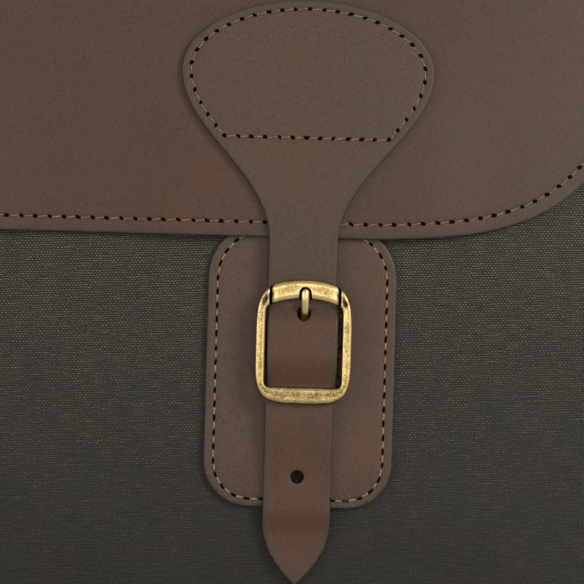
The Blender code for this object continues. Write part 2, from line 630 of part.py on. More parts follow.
def shoulder_strap():
    """Folded round both rings, down each side and standing on its edge behind the bag."""
    low_x, low_z = RING_X + RING_OUT, RING_HEIGHT - RING_DROP
    fold = RING_WIRE + GAP + SHOULDER_LEATHER / 2
    turn = np.radians(np.linspace(180, 0, 9))
    tail_z = low_z - np.array([30, 12]) * MM
    tail_x = wall_x(tail_z) + 3 * GAP + 2 * TAB_LEATHER + SHOULDER_LEATHER / 2 + GAP
    x = np.r_[tail_x, low_x + fold * np.cos(turn)]
    z = np.r_[tail_z, low_z + fold * np.sin(turn)]
    loop = np.column_stack([x, np.zeros_like(x), z, np.zeros_like(x), np.ones_like(x), np.zeros_like(x)])
    free = smooth_path(np.vstack([loop[-1:], SHOULDER_ROUTE, mirrored(SHOULDER_ROUTE[-1:])]), 42)
    free = free[1:-2]
    half = np.vstack([loop, free])
    rows = np.vstack([half, mirrored(half)[::-1]])
    return ribbon("shoulder_strap", rows[:, :3], rows[:, 3:], SHOULDER_WIDTH, SHOULDER_LEATHER, STRAP_LOOK)


def mirrored(rows):
    """The same rows on the other side of the bag."""
    rows = np.array(rows, float)
    rows[:, 0] *= -1
    rows[:, 3] *= -1
    return rows


for side, word in ((-1, "left"), (1, "right")):
    tab("tab_" + word, side)
    ring("ring_" + word, side)

shoulder_strap()
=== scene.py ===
"""Looks of the waxed canvas crossbody bag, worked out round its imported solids."""
import math

import bpy
import numpy as np
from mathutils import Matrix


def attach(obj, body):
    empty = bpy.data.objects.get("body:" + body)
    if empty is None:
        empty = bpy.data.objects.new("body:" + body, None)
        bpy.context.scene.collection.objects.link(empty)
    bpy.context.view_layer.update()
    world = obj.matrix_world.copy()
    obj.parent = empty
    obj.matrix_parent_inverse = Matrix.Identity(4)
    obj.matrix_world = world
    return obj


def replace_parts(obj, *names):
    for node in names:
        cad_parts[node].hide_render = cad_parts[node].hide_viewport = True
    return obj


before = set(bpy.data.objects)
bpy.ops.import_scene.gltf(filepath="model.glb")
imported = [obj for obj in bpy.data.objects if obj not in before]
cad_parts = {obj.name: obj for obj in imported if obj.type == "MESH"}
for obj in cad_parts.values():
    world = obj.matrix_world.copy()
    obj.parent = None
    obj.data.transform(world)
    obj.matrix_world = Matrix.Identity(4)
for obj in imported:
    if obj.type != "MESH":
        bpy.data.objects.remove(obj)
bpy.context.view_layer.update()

# Canvas body. The real one is waxed cotton canvas in plain weave: a front and a back
# panel, each sewn along its sides and foot to one long gusset strip with a dark thread. The
# wax darkens the cloth and rubs off on the tops of the threads, which show as paler dots.

MM = 0.001
HALF_WIDTH = 190 * MM
SEAM_HALF_DEPTH = 36 * MM
BELLY = 12 * MM
BELLY_REACH = 110 * MM
BACK_BELLY_SHARE = 0.5
TOP_SLACK = 0.3
CORNER_RADIUS = 40 * MM
MOUTH_HEIGHT = 262 * MM
GUSSET_HEIGHT = 256 * MM
GUSSET_PINCH = 9 * MM
PINCH_START = 120 * MM
CANVAS = 1.5 * MM
GAP = 0.3 * MM
SEAM_BITE = 0.1 * MM
CANVAS_ROUND = 1.2 * MM
PANEL_FOOT = 0.5 * MM
PUCKER = 0.45 * MM
PUCKER_PITCH = 13 * MM
# Height and pitch of the two slow waves in the cloth
SLOW_WAVES = ((0.5 * MM, 46 * MM), (0.3 * MM, 71 * MM))
FLAP_EDGE = 168 * MM
STRAP_X = 82 * MM
# The weave's threads, in mm from one to the next, and how far the cloth is turned
WEFT_PITCH = 0.87
WARP_PITCH = 0.63
WEAVE_TURN = math.radians(2.6)
CANVAS_SEAM = 4.5 * MM
CANVAS_PITCH = 3.8 * MM
# Places of the first rows inside an edge, and the inner faces' coarser step in the grid
NEAR_EDGE = np.array([0, 0.1, 0.28, 0.55, 0.9]) * MM
COARSE = 4
# Points taken at once, to spare memory
BLOCK = 4000
# A stitch's middle line starts below the face and rises between its holes, in mm
STITCH_SINK = 0.5
STITCH_RISE = 0.78
STITCH_STEPS = 13
PLY_RADIUS = 0.135 * MM
PLY_SIDES = 5


def smoothstep(t, start=0.0, end=1.0):
    """0 before the start, 1 past the end, and 3s^2 - 2s^3 between them, where s is the share
    of the way. The end may be the lower one."""
    s = np.clip((t - start) / (end - start), 0.0, 1.0)
    return s * s * (3 - 2 * s)


def hump(t, middle, reach, power=2):
    """1 at the middle and falling on both sides: e to minus (distance / reach)^power."""
    return np.exp(-((t - middle) / reach) ** power)


def unit(vectors):
    """Each vector divided by its length."""
    return vectors / np.linalg.norm(vectors, axis=-1, keepdims=True)


def joined(*parts):
    """The coordinates side by side, as points."""
    return np.stack(np.broadcast_arrays(*parts), axis=-1)


def belly(x, z):
    """Pillow: the product of 1 - (1 - distance / reach)^3 from the sides and from the foot."""
    side = 1 - (1 - np.clip((HALF_WIDTH - np.abs(x)) / BELLY_REACH, 0, 1)) ** 3
    foot = 1 - (1 - np.clip(z / BELLY_REACH, 0, 1)) ** 3
    slack = 1 - TOP_SLACK * smoothstep(z, FLAP_EDGE, MOUTH_HEIGHT)
    return BELLY * side * foot * slack


def on_front(x, z, h):
    """The point h in front of the canvas: y is minus the seam's depth, the belly and h."""
    return joined(x, -(SEAM_HALF_DEPTH + belly(x, z)) - h, z)


def on_back(x, z, h):
    """The point h behind the canvas of the back, which has half the belly."""
    return joined(x, SEAM_HALF_DEPTH + BACK_BELLY_SHARE * belly(x, z) + h, z)


def stations(low, high, count):
    """Even steps from low to high with closer ones beside both ends, along the first axis."""
    near = NEAR_EDGE[:, None] * np.minimum(1, (high - low) / (6 * MM))
    start, end = low + near[-1], high - near[-1]
    even = start + (end - start) * np.linspace(0, 1, count)[:, None]
    return np.concatenate([low + near[:-1], even, high - near[:-1][::-1]])


def border(grid):
    """The grid's outer points, one after another round it."""
    return np.concatenate([grid[0, :-1], grid[:-1, -1], grid[-1, :0:-1], grid[:0:-1, 0]])


def lengths(line):
    """How far along a line each of its points is."""
    return np.r_[0, np.cumsum(np.linalg.norm(np.diff(line, axis=0), axis=1))]


def nearest_on(line, points):
    """Distance, signed offset and length along the line, to the nearest of its segments."""
    a, d = line[:-1], np.diff(line, axis=0)
    size, begin = np.linalg.norm(d, axis=1), lengths(line)
    flat = points.reshape(-1, 2)
    found = np.empty((len(flat), 3))
    for first in range(0, len(flat), BLOCK):
        p = flat[first:first + BLOCK, None] - a
        t = np.clip(np.sum(p * d, axis=2) / size ** 2, 0, 1)
        gap = np.hypot(*(p - t[..., None] * d).transpose(2, 0, 1))
        k = np.argmin(gap, axis=1)
        row = np.arange(len(k))
        side = d[k, 0] * p[row, k, 1] - d[k, 1] * p[row, k, 0]
        found[first:first + BLOCK] = np.stack([gap[row, k], np.sign(side) * gap[row, k],
                                               begin[k] + t[row, k] * size[k]], axis=1)
    return found.reshape(points.shape[:-1] + (3,))


def edge_distance(plan):
    """How far each point of a grid is from the grid's own outline."""
    rim = border(plan)
    return nearest_on(np.concatenate([rim, rim[:1]]), plan)[..., 0]


def put_mesh(name, points, faces, maps=None, values=None, crease=40):
    """One object from arrays. Each array of faces has its own number of corners; maps hold
    a UV and values a number for each point. A closed mesh whose volume, the sum of centre
    times normal times area, is negative is turned inside out."""
    corners = np.concatenate([part.ravel() for part in faces]).astype(np.int32)
    sizes = np.concatenate([np.full(len(part), part.shape[1]) for part in faces]).astype(np.int32)
    mesh = bpy.data.meshes.new(name)
    mesh.vertices.add(len(points))
    mesh.vertices.foreach_set("co", points.astype(np.float32).ravel())
    mesh.loops.add(len(corners))
    mesh.loops.foreach_set("vertex_index", corners)
    mesh.polygons.add(len(sizes))
    mesh.polygons.foreach_set("loop_start", (np.cumsum(sizes) - sizes).astype(np.int32))
    for key, uv in (maps or {}).items():
        mesh.uv_layers.new(name=key).data.foreach_set("uv", uv[corners].astype(np.float32).ravel())
    for key, value in (values or {}).items():
        mesh.attributes.new(key, "FLOAT", "POINT").data.foreach_set("value", value.astype(np.float32))
    mesh.update(calc_edges=True)
    mesh.validate()
    measure = {}
    for key, parts in (("center", 3), ("normal", 3), ("area", 1)):
        measure[key] = np.empty(len(mesh.polygons) * parts, np.float32)
        mesh.polygons.foreach_get(key, measure[key])
    height = np.sum((measure["center"] * measure["normal"]).reshape(-1, 3), axis=1)
    if height @ measure["area"] < 0:
        mesh.flip_normals()
    mesh.shade_smooth()
    mesh.set_sharp_from_angle(angle=math.radians(crease))
    made = bpy.data.objects.new(name, mesh)
    bpy.context.scene.collection.objects.link(made)
    return made


def quads(index, close_rows=False, close_columns=False):
    """Four-cornered faces between the neighbours of a grid of point numbers."""
    if close_rows:
        index = np.concatenate([index, index[:1]])
    if close_columns:
        index = np.concatenate([index, index[:, :1]], axis=1)
    parts = index[:-1, :-1], index[:-1, 1:], index[1:, 1:], index[1:, :-1]
    return np.stack([part.ravel() for part in parts], axis=1)


def closed_sheet(name, outer, inner, maps=None, values=None):
    """A sheet with a wall. The inner grid has every fourth row and column of the outer
    one, and each wall face joins four outer steps to an inner one."""
    rows, columns = outer.shape[:2]
    low = inner[::COARSE, ::COARSE]
    top_index = np.arange(rows * columns).reshape(rows, columns)
    low_index = rows * columns + np.arange(low.shape[0] * low.shape[1]).reshape(low.shape[:2])
    rim, low_rim = border(top_index), border(low_index)
    steps = [np.roll(rim, -k)[::COARSE] for k in range(COARSE, -1, -1)]
    wall = np.stack(steps + [low_rim, np.roll(low_rim, -1)], axis=1)
    faces = [quads(top_index), quads(low_index)[:, ::-1], wall]

    def both(grid):
        """The values of the outer points, then those of the inner ones."""
        return np.concatenate([grid.reshape(rows * columns, -1),
                               grid[::COARSE, ::COARSE].reshape(low_index.size, -1)])

    points = np.concatenate([outer.reshape(-1, 3), low.reshape(-1, 3)])
    return put_mesh(name, points, faces, {key: both(uv) for key, uv in (maps or {}).items()},
                    {key: both(value)[:, 0] for key, value in (values or {}).items()})


def dress(piece, node, look):
    """The piece takes its look, stands for the CAD node, and goes with the bag."""
    piece.data.materials.clear()
    piece.data.materials.append(look)
    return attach(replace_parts(piece, node), "root")


def rounded(edge, radius):
    """How far a rounded edge falls: radius minus the circle's height at that distance."""
    return radius - np.sqrt(radius ** 2 - np.clip(radius - edge, 0, radius) ** 2)


def cloth_map(u, v):
    """Millimetres across and along the cloth, turned by the angle of the weave."""
    c, s = math.cos(WEAVE_TURN), math.sin(WEAVE_TURN)
    return joined(c * u + s * v, c * v - s * u) / MM


def linear(hex_colour):
    """sRGB hex text to linear numbers."""
    values = [int(hex_colour[i:i + 2], 16) / 255 for i in (1, 3, 5)]
    return [c / 12.92 if c <= 0.04045 else ((c + 0.055) / 1.055) ** 2.4 for c in values] + [1.0]


def add(tree, kind, links, **settings):
    """One node, and its outputs back. links gives each input, by name or number, a socket to
    join or a value."""
    node = tree.nodes.new("ShaderNode" + kind)
    for key, value in settings.items():
        setattr(node, key, value)
    for key, value in links.items():
        if isinstance(value, bpy.types.NodeSocket):
            tree.links.new(value, node.inputs[key])
        else:
            node.inputs[key].default_value = value
    return node.outputs


def new_material(name, roughness, specular=0.5, metallic=0.0):
    """A Principled material and its parts, with its uniform numbers on the shader."""
    made = bpy.data.materials.new(name)
    made.use_nodes = True
    tree = made.node_tree
    shader = tree.nodes["Principled BSDF"]
    shader.inputs["Roughness"].default_value = roughness
    shader.inputs["Specular IOR Level"].default_value = specular
    shader.inputs["Metallic"].default_value = metallic
    return made, tree, shader


def waxed_canvas():
    """Heavy cotton canvas with a wax finish: matt, dark olive brown, paler on thread tops."""
    made, tree, shader = new_material("waxed_cotton_canvas", 0.78, 0.3)
    # The cloth map is in mm: threads stray over 3 mm, slubs are 6 mm long, dots 0.8 mm and
    # rubbed clouds 17 mm wide
    cloth = add(tree, "UVMap", {}, uv_map="cloth")[0]
    parts = add(tree, "SeparateXYZ", {0: cloth})
    stretched = add(tree, "VectorMath", {0: cloth, 1: (0.16, 1.15, 1)}, operation="MULTIPLY")[0]
    wander, slub, dots, cloud = [
        add(tree, "TexNoise", {"Vector": at, "Scale": scale, "Detail": detail}, noise_dimensions="2D")[0]
        for at, scale, detail in ((cloth, 0.35, 1.0), (stretched, 1.0, 2.0), (cloth, 1.3, 1.0),
                                  (cloth, 0.06, 3.0))]
    waves = []
    for out, pitch in ((parts[0], WARP_PITCH), (parts[1], WEFT_PITCH)):
        shifted = add(tree, "Math", {0: wander, 1: 0.5, 2: out}, operation="MULTIPLY_ADD")
        turned = add(tree, "Math", {0: shifted[0], 1: math.pi / pitch}, operation="MULTIPLY")
        waves.append(add(tree, "Math", {0: turned[0]}, operation="COSINE")[0])
    over = add(tree, "Math", {0: waves[0], 1: waves[1]}, operation="MULTIPLY")[0]
    over = add(tree, "Math", {0: over, 1: 0.26, 2: 0.74}, operation="MULTIPLY_ADD")[0]
    row = add(tree, "Math", {0: waves[1]}, operation="ABSOLUTE")[0]
    thread = add(tree, "Math", {0: row, 1: over}, operation="MULTIPLY")[0]
    # Painted shade: the thread tops fade and the cloth gets darker towards the foot of the panels, as the
    # light falls off lower down
    shade_to_foot = add(tree, "MapRange", {0: parts[1], 1: 40, 2: 150, 3: 0.56, 4: 1.04})
    thread = add(tree, "Math", {0: thread, 1: shade_to_foot[0]}, operation="MULTIPLY")[0]
    rub = thread
    # What the slubs, dots and clouds add to the threads' height
    for pattern, share in ((slub, 0.5), (dots, 0.7), (cloud, 0.12)):
        rub = add(tree, "Math", {0: pattern, 1: share, 2: rub}, operation="MULTIPLY_ADD")[0]
    stops = ((0.68, "#1d1b17"), (1.04, "#2a2721"), (1.34, "#37332c"), (1.70, "#696250"))
    scaled = add(tree, "MapRange", {0: rub, 1: stops[0][0], 2: stops[-1][0]})[0]
    ramp = add(tree, "ValToRGB", {0: scaled})
    span = stops[-1][0] - stops[0][0]
    elements = ramp[0].node.color_ramp.elements
    elements[0].color = linear(stops[0][1])
    elements[1].color = linear(stops[-1][1])
    for place, colour in stops[1:-1]:
        elements.new((place - stops[0][0]) / span).color = linear(colour)
    tint = add(tree, "MapRange", {0: cloud, 1: 0.38, 2: 0.62})[0]
    tint = add(tree, "Mix", {0: tint, 6: (0.98, 1.01, 0.99, 1), 7: (1.03, 1.0, 0.95, 1)},
               data_type="RGBA")[2]
    tinted = add(tree, "VectorMath", {0: ramp[0], 1: tint}, operation="MULTIPLY")[0]
    tree.links.new(tinted, shader.inputs["Base Color"])
    bump = add(tree, "Bump", {"Strength": 0.6, "Distance": 0.25 * MM, "Height": rub})
    tree.links.new(bump[0], shader.inputs["Normal"])
    return made


canvas_look = waxed_canvas()


def sewing_thread(name, dark, light):
    """Waxed sewing thread, paler on the tops of its fibres."""
    made, tree, shader = new_material(name, 0.6, 0.4)
    place = add(tree, "TexCoord", {})["Object"]
    fuzz = add(tree, "TexNoise", {"Vector": place, "Scale": 1400, "Detail": 2})[0]
    share = add(tree, "MapRange", {0: fuzz, 1: 0.3, 2: 0.7})[0]
    colour = add(tree, "Mix", {0: share, 6: linear(dark), 7: linear(light)}, data_type="RGBA")[2]
    tree.links.new(colour, shader.inputs["Base Color"])
    return made


canvas_thread = sewing_thread("dark_cotton_thread", "#1f1c18", "#3d372f")


def stitching(name, runs, look, twists=3, size=1.0, share=0.74, tilt=0.0):
    """Each stitch arches on sin(pi t)^0.5 over its share of the way from hole to hole, with
    a tilt across that way, and its two plies wind round that line; runs are pairs of hole
    points and outward directions."""
    a = np.concatenate([p[:-1] for p, n in runs])
    b = np.concatenate([p[1:] for p, n in runs])
    up = unit(np.concatenate([n[:-1] + n[1:] for p, n in runs]))
    along = unit(b - a)
    side = np.cross(along, up)
    t = 0.5 - 0.5 * np.cos(np.linspace(0, math.pi, STITCH_STEPS))
    rise = (-STITCH_SINK + STITCH_RISE * np.sqrt(np.sin(t * math.pi))) * MM
    reach = 0.5 + (t - 0.5) * share
    line = a[:, None] + (b - a)[:, None] * reach[:, None] + up[:, None] * rise[:, None]
    line = line + side[:, None] * (0.5 - t)[:, None] * tilt
    wind = (2 * math.pi * twists * t)[None, :] + np.array([0, math.pi])[:, None]
    ring = np.linspace(0, 2 * math.pi, PLY_SIDES, endpoint=False)
    ply = PLY_RADIUS * size
    du = ply * (np.cos(wind)[..., None] + np.cos(ring))
    dn = ply * (np.sin(wind)[..., None] + np.sin(ring))
    points = (line[:, None, :, None] + side[:, None, None, None] * du[None, ..., None]
              + up[:, None, None, None] * dn[None, ..., None])
    strands = np.arange(points[..., 0].size).reshape(-1, STITCH_STEPS, PLY_SIDES)
    rows = np.concatenate([strands, strands[:, :, :1]], axis=2)
    parts = rows[:, :-1, :-1], rows[:, :-1, 1:], rows[:, 1:, 1:], rows[:, 1:, :-1]
    faces = np.stack([part.ravel() for part in parts], axis=1)
    made = put_mesh(name, points.reshape(-1, 3),
                    [faces[:, ::-1], strands[:, 0], strands[:, -1, ::-1]], crease=80)
    made.data.materials.append(look)
    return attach(made, "root")


def holes_along(line, pitch):
    """Evenly spaced points on a line, nearest to the pitch, and how long each step is."""
    length = lengths(line)
    count = round(length[-1] / pitch)
    wanted = np.linspace(0, length[-1], count + 1)
    points = np.stack([np.interp(wanted, length, line[:, k]) for k in range(line.shape[1])], axis=-1)
    return points, length[-1] / count


def canvas_waves(x, z):
    """Slight unevenness of the cloth where no leather lies on it: puckers beside the side
    and foot seams, and two slow waves that cross the lower corners."""
    side = HALF_WIDTH - np.abs(x)
    inside = np.minimum(side, z)
    pucker = PUCKER * hump(inside, 9 * MM, 7 * MM)
    pucker = pucker * np.sin((x + z) * 2 * math.pi / PUCKER_PITCH + 2 * np.sin(x * 60))
    (high, pitch), (low, long_pitch) = SLOW_WAVES
    slow = high * np.sin((x - 0.8 * z) * 2 * math.pi / pitch + 0.9)
    slow = slow + low * np.sin((x + 1.4 * z) * 2 * math.pi / long_pitch)
    beside = smoothstep(np.abs(np.abs(x) - STRAP_X), 36 * MM, 58 * MM)
    below = smoothstep(z, 66 * MM, 44 * MM)
    free = np.maximum(beside, below) * smoothstep(z, FLAP_EDGE - 4 * MM, FLAP_EDGE - 44 * MM)
    return (pucker + slow * smoothstep(inside, 0, 30 * MM)) * free


def canvas_panel(name, place):
    """Columns of canvas with round lower corners; its folded edges are rounded over."""
    turn = np.linspace(0, math.pi / 2, 25)
    corner = HALF_WIDTH - CORNER_RADIUS * (1 - np.sin(turn))
    x = np.r_[-corner[::-1], np.linspace(-1, 1, 93)[1:-1] * corner[0], corner]
    over = np.maximum(np.abs(x) - (HALF_WIDTH - CORNER_RADIUS), 0)
    foot = CORNER_RADIUS - np.sqrt(np.maximum(CORNER_RADIUS ** 2 - over ** 2, 0)) + PANEL_FOOT
    z = stations(foot[None], np.full_like(foot, MOUTH_HEIGHT)[None], 101)
    x = np.repeat(x[None], len(z), axis=0)
    edge = edge_distance(joined(x, z))
    outer = place(x, z, canvas_waves(x, z) - rounded(edge, CANVAS_ROUND))
    inner = place(x, z, np.minimum(canvas_waves(x, z), 0) - CANVAS)
    made = closed_sheet(name, outer, inner, {"cloth": cloth_map(x, z)})
    dress(made, name, canvas_look)

    bend = np.linspace(0, math.pi / 2, 16)
    seam_x = HALF_WIDTH - CORNER_RADIUS + (CORNER_RADIUS - CANVAS_SEAM) * np.cos(bend)
    seam_z = CORNER_RADIUS + PANEL_FOOT - (CORNER_RADIUS - CANVAS_SEAM) * np.sin(bend)
    line = joined(np.r_[seam_x[0], seam_x], np.r_[MOUTH_HEIGHT - 8 * MM, seam_z])
    x, z = holes_along(np.concatenate([line, line[::-1] * [-1, 1]]), CANVAS_PITCH)[0].T
    points = place(x, z, canvas_waves(x, z) - 0.1 * MM)
    outward = unit(place(x, z, 1) - place(x, z, 0))
    stitching(name + "_seam", [(points, outward)], canvas_thread, size=0.75)


canvas_panel("canvas_front", on_front)
canvas_panel("canvas_back", on_back)


def gusset_strip():
    """One strip round the U of sides and bottom; each side is pinched in at the mouth by a
    smooth step in height times 1 minus the fourth power of the place across. Its edges
    press into the panels, so no light comes through the seams."""
    turn = np.linspace(0, math.pi / 2, 21)
    upright = np.linspace(GUSSET_HEIGHT, CORNER_RADIUS, 45)[:-1]
    low = np.linspace(-1, 1, 61)[1:-1] * (HALF_WIDTH - CORNER_RADIUS)
    bend_x = HALF_WIDTH - CORNER_RADIUS * (1 - np.cos(turn))
    bend_z = CORNER_RADIUS * (1 - np.sin(turn))
    ones, zeros = np.ones(44), np.zeros(44)
    x = np.r_[-HALF_WIDTH * ones, -bend_x, low, bend_x[::-1], HALF_WIDTH * ones]
    z = np.r_[upright, bend_z, np.zeros(59), bend_z[::-1], upright[::-1]]
    out_x = np.r_[-ones, -np.cos(turn), np.zeros(59), np.cos(turn)[::-1], ones]
    out_z = np.r_[zeros, -np.sin(turn), -np.ones(59), -np.sin(turn)[::-1], zeros]
    front = -(SEAM_HALF_DEPTH + belly(x, z)) + CANVAS - SEAM_BITE
    back = SEAM_HALF_DEPTH + BACK_BELLY_SHARE * belly(x, z) - CANVAS + SEAM_BITE
    share = np.linspace(0, 1, 41)
    y = front[:, None] + (back - front)[:, None] * share
    pinch = GUSSET_PINCH * smoothstep(z, PINCH_START, GUSSET_HEIGHT)
    dip = pinch[:, None] * (1 - np.abs(2 * share - 1) ** 4)
    way = lengths(joined(x, z))
    low_wave = 0.35 * MM * np.sin(way[:, None] / (19 * MM) + 3 * share) * np.sin(share * math.pi)
    dip = dip + low_wave * smoothstep(z[:, None], 60 * MM, 100 * MM) * (np.abs(y) > 20 * MM)
    outer = joined(x[:, None] - np.sign(x)[:, None] * dip, y, z[:, None])
    wall = joined(out_x, 0, out_z)[:, None] * CANVAS
    cloth = cloth_map(y, way[:, None])
    made = closed_sheet("canvas_gusset", outer, outer - wall, {"cloth": cloth})
    dress(made, "canvas_gusset", canvas_look)


gusset_strip()

# Flap. One panel of oiled cowhide, 2.4 mm thick, sewn to the back panel with two rows of
# stitches. It goes over the mouth and down the front, is cut straight between the closing
# straps and round at the corners, and has a row of stitches 5 mm inside its edge.

FLAP_LEATHER = 2.4 * MM
FLAP_HALF_WIDTH = 200 * MM
FLAP_BACK_HALF_WIDTH = 184 * MM
FLAP_ARCH = 30 * MM
FLAP_ARCH_POWER = 2.6
FLAP_BACK_END = 222 * MM
FLAP_LOW = 0.6 * MM
FLAP_STRAIGHT = 20 * MM
# Length and radius of the two easy bends of the lower edge, then the corner's radius
EDGE_BENDS = ((38 * MM, 280 * MM), (20.5 * MM, 95 * MM))
EDGE_LAST_RADIUS = 61 * MM
PATCH_LEATHER = 2.0 * MM
FLAP_SEAM = 5.3 * MM
FLAP_PITCH = 5.2 * MM
EDGE_ROUND = 0.8 * MM
SEAM_SINK = 0.22 * MM
SEAM_SINK_REACH = 0.9 * MM
BACK_SEAMS = (4.5 * MM, 12 * MM)
# An offset too far for a hole, and what a seam map adds so that an empty map has none
NO_SEAM = 20 * MM
SEAM_ZERO = 20
# The two sides of the bag: the sign of x, the word in the names, and the mirror
SIDES = [(side, word, np.array([side, 1, 1])) for side, word in ((-1, "left"), (1, "right"))]


def oiled_leather(name, body, warm, cool, roughness, hole_half=(0.13, 0.24)):
    """Oiled cowhide: a satin skin with a fine grain, cloudy reddish places, edges rubbed
    grey and smooth, and pricked holes along its seams painted near black and matt as the
    shade inside them, whose half length is a part of the pitch. The seam map holds the
    stitch's number and SEAM_ZERO plus the offset in mm, so a piece without one has no holes.
    An attribute of painted shade darkens the skin and takes its shine away."""
    made, tree, shader = new_material(name, roughness, 0.35)
    place = add(tree, "TexCoord", {})["Object"]
    # Clouds 42 and 10 mm wide, creases 2 mm and grain 0.7 mm, coarser than the real pores
    clouds = [add(tree, "TexNoise", {"Vector": place, "Scale": scale, "Detail": detail,
                                               "Roughness": 0.55})[0]
              for scale, detail in ((24, 3), (95, 3), (520, 2), (1500, 2))]
    warmth, edge, painted_shade = [add(tree, "Attribute", {}, attribute_name=key)["Fac"]
                           for key in ("warm", "edge", "painted_shade")]
    drift = add(tree, "MapRange", {0: clouds[0], 1: 0.35, 2: 0.72, 3: -0.25, 4: 0.6})[0]
    drift = add(tree, "Math", {0: drift, 1: warmth}, operation="ADD")[0]
    drift = add(tree, "Math", {0: clouds[1], 1: 0.5, 2: drift}, operation="MULTIPLY_ADD")[0]
    drift = add(tree, "Math", {0: drift, 1: 0.2}, operation="SUBTRACT", use_clamp=True)[0]
    colour = add(tree, "Mix", {0: drift, 6: linear(body), 7: linear(warm)}, data_type="RGBA")[2]
    rubbed = add(tree, "MapRange", {0: edge, 1: 0.4, 2: 3.6, 3: 0.6, 4: 0.0},
                 interpolation_type="SMOOTHSTEP")[0]
    colour = add(tree, "Mix", {0: rubbed, 6: colour, 7: linear(cool)}, data_type="RGBA")[2]
    tone = add(tree, "MapRange", {0: clouds[3], 1: 0.25, 2: 0.75, 3: 0.5, 4: 1.5})[0]
    tone = add(tree, "Math", {0: clouds[2], 1: 0.4, 2: tone}, operation="MULTIPLY_ADD")[0]
    speck = add(tree, "MapRange", {0: clouds[3], 1: 0.66, 2: 0.76, 3: -0.2, 4: 0.5})[0]
    tone = add(tree, "Math", {0: tone, 1: speck}, operation="ADD")[0]
    # Painted shade: an attribute darkens the skin where shade falls
    tone = add(tree, "Math", {0: tone, 1: painted_shade}, operation="SUBTRACT", use_clamp=True)[0]
    tinted = add(tree, "VectorMath", {0: colour, "Scale": tone}, operation="SCALE")[0]

    seam = add(tree, "SeparateXYZ", {0: add(tree, "UVMap", {}, uv_map="seam")[0]})
    number = add(tree, "Math", {0: seam[0]}, operation="ROUND")[0]
    chance = add(tree, "TexWhiteNoise", {"W": number}, noise_dimensions="1D")
    other = add(tree, "SeparateXYZ", {0: chance[1]})
    along = add(tree, "Math", {0: seam[0], 1: number}, operation="SUBTRACT")[0]
    stray = add(tree, "MapRange", {0: other[0], 3: -0.06, 4: 0.06})[0]
    along = add(tree, "Math", {0: along, 1: stray}, operation="ADD")[0]
    off = add(tree, "Math", {0: seam[1], 1: SEAM_ZERO}, operation="SUBTRACT")[0]
    slant = add(tree, "MapRange", {0: other[1], 3: 0.02, 4: 0.14})[0]
    along = add(tree, "Math", {0: off, 1: slant, 2: along}, operation="MULTIPLY_ADD")[0]
    long_half = add(tree, "MapRange", {0: chance[0], 3: hole_half[0], 4: hole_half[1]})[0]
    along = add(tree, "Math", {0: along, 1: long_half}, operation="DIVIDE")[0]
    off = add(tree, "Math", {0: off, 1: 0.72}, operation="DIVIDE")[0]
    pair = add(tree, "CombineXYZ", {0: along, 1: off})[0]
    reach = add(tree, "VectorMath", {0: pair}, operation="LENGTH")[1]
    hole = add(tree, "MapRange", {0: reach, 1: 0.75, 2: 1.2, 3: 1.0, 4: 0.0},
               interpolation_type="SMOOTHSTEP")[0]
    # Painted shade: the pricked holes are painted near black and, below, lose their shine, as the shade
    # inside them
    colour = add(tree, "Mix", {0: hole, 6: tinted, 7: linear("#0f0906")}, data_type="RGBA")[2]
    tree.links.new(colour, shader.inputs["Base Color"])
    matt = add(tree, "Math", {0: hole, 1: painted_shade}, operation="MAXIMUM")[0]
    shine = add(tree, "MapRange", {0: matt, 3: 0.35, 4: 0.0})[0]
    tree.links.new(shine, shader.inputs["Specular IOR Level"])
    height = add(tree, "Math", {0: clouds[3], 1: 0.10}, operation="MULTIPLY")[0]
    height = add(tree, "Math", {0: clouds[2], 1: 0.14, 2: height}, operation="MULTIPLY_ADD")[0]
    height = add(tree, "Math", {0: hole, 1: -0.8, 2: height}, operation="MULTIPLY_ADD")[0]
    bump = add(tree, "Bump", {"Strength": 0.5, "Distance": 1.0 * MM, "Height": height})
    tree.links.new(bump[0], shader.inputs["Normal"])
    return made


flap_look = oiled_leather("oiled_flap_leather", "#473324", "#4f3324", "#403529", 0.55)
linen_thread = sewing_thread("waxed_linen_thread", "#5e4a3a", "#9d826c")


def face_normals(surface, x, v):
    """The surface's outward direction: its step across times its step up."""
    step = 0.05 * MM
    across = surface(x + step, v) - surface(x - step, v)
    upward = surface(x, v + step) - surface(x, v - step)
    return unit(np.cross(across, upward))


def skin(surface, x, v, thickness, edge, sunk):
    """The outer face of a piece of leather: its inner face moved out by the thickness, less
    the rounding of its edge and what its seams and holes sink."""
    height = thickness - rounded(edge, EDGE_ROUND) - sunk
    return surface(x, v) + face_normals(surface, x, v) * height[..., None]


def stitch_places(surface, holes, thickness):
    """The points of the holes on a piece of leather, and the way out of it at each."""
    outward = face_normals(surface, *holes.T)
    return surface(*holes.T) + outward * (thickness - SEAM_SINK), outward


def flap_edge_curve():
    """Half of the lower edge: straight, two easy bends, then a round corner to upright."""
    turned = sum(length / radius for length, radius in EDGE_BENDS)
    last = (math.pi / 2 - turned) * EDGE_LAST_RADIUS
    step = 0.25 * MM
    bend = np.concatenate([np.full(round(length / step), 1 / radius)
                           for length, radius in EDGE_BENDS + ((last, EDGE_LAST_RADIUS),)])
    angle = np.r_[0, np.cumsum(bend) * step]
    x = STRAP_X + FLAP_STRAIGHT + np.r_[0, np.cumsum(np.cos(angle[:-1])) * step]
    z = FLAP_EDGE + np.r_[0, np.cumsum(np.sin(angle[:-1])) * step]
    x = STRAP_X + (x - STRAP_X) * (FLAP_HALF_WIDTH - STRAP_X) / (x[-1] - STRAP_X)
    return x, z


def flap_lift(x, z):
    """Low on the canvas, with a wide flat-topped rise over each patch."""
    beside = hump(np.abs(x), STRAP_X, 58 * MM, 8)
    above = 1 - smoothstep(z, FLAP_EDGE + 15 * MM, FLAP_EDGE + 75 * MM)
    return FLAP_LOW + 1.04 * PATCH_LEATHER * beside * above


def flap_face(x, z):
    """The flap's inner face on the front."""
    return on_front(x, z, flap_lift(x, z))


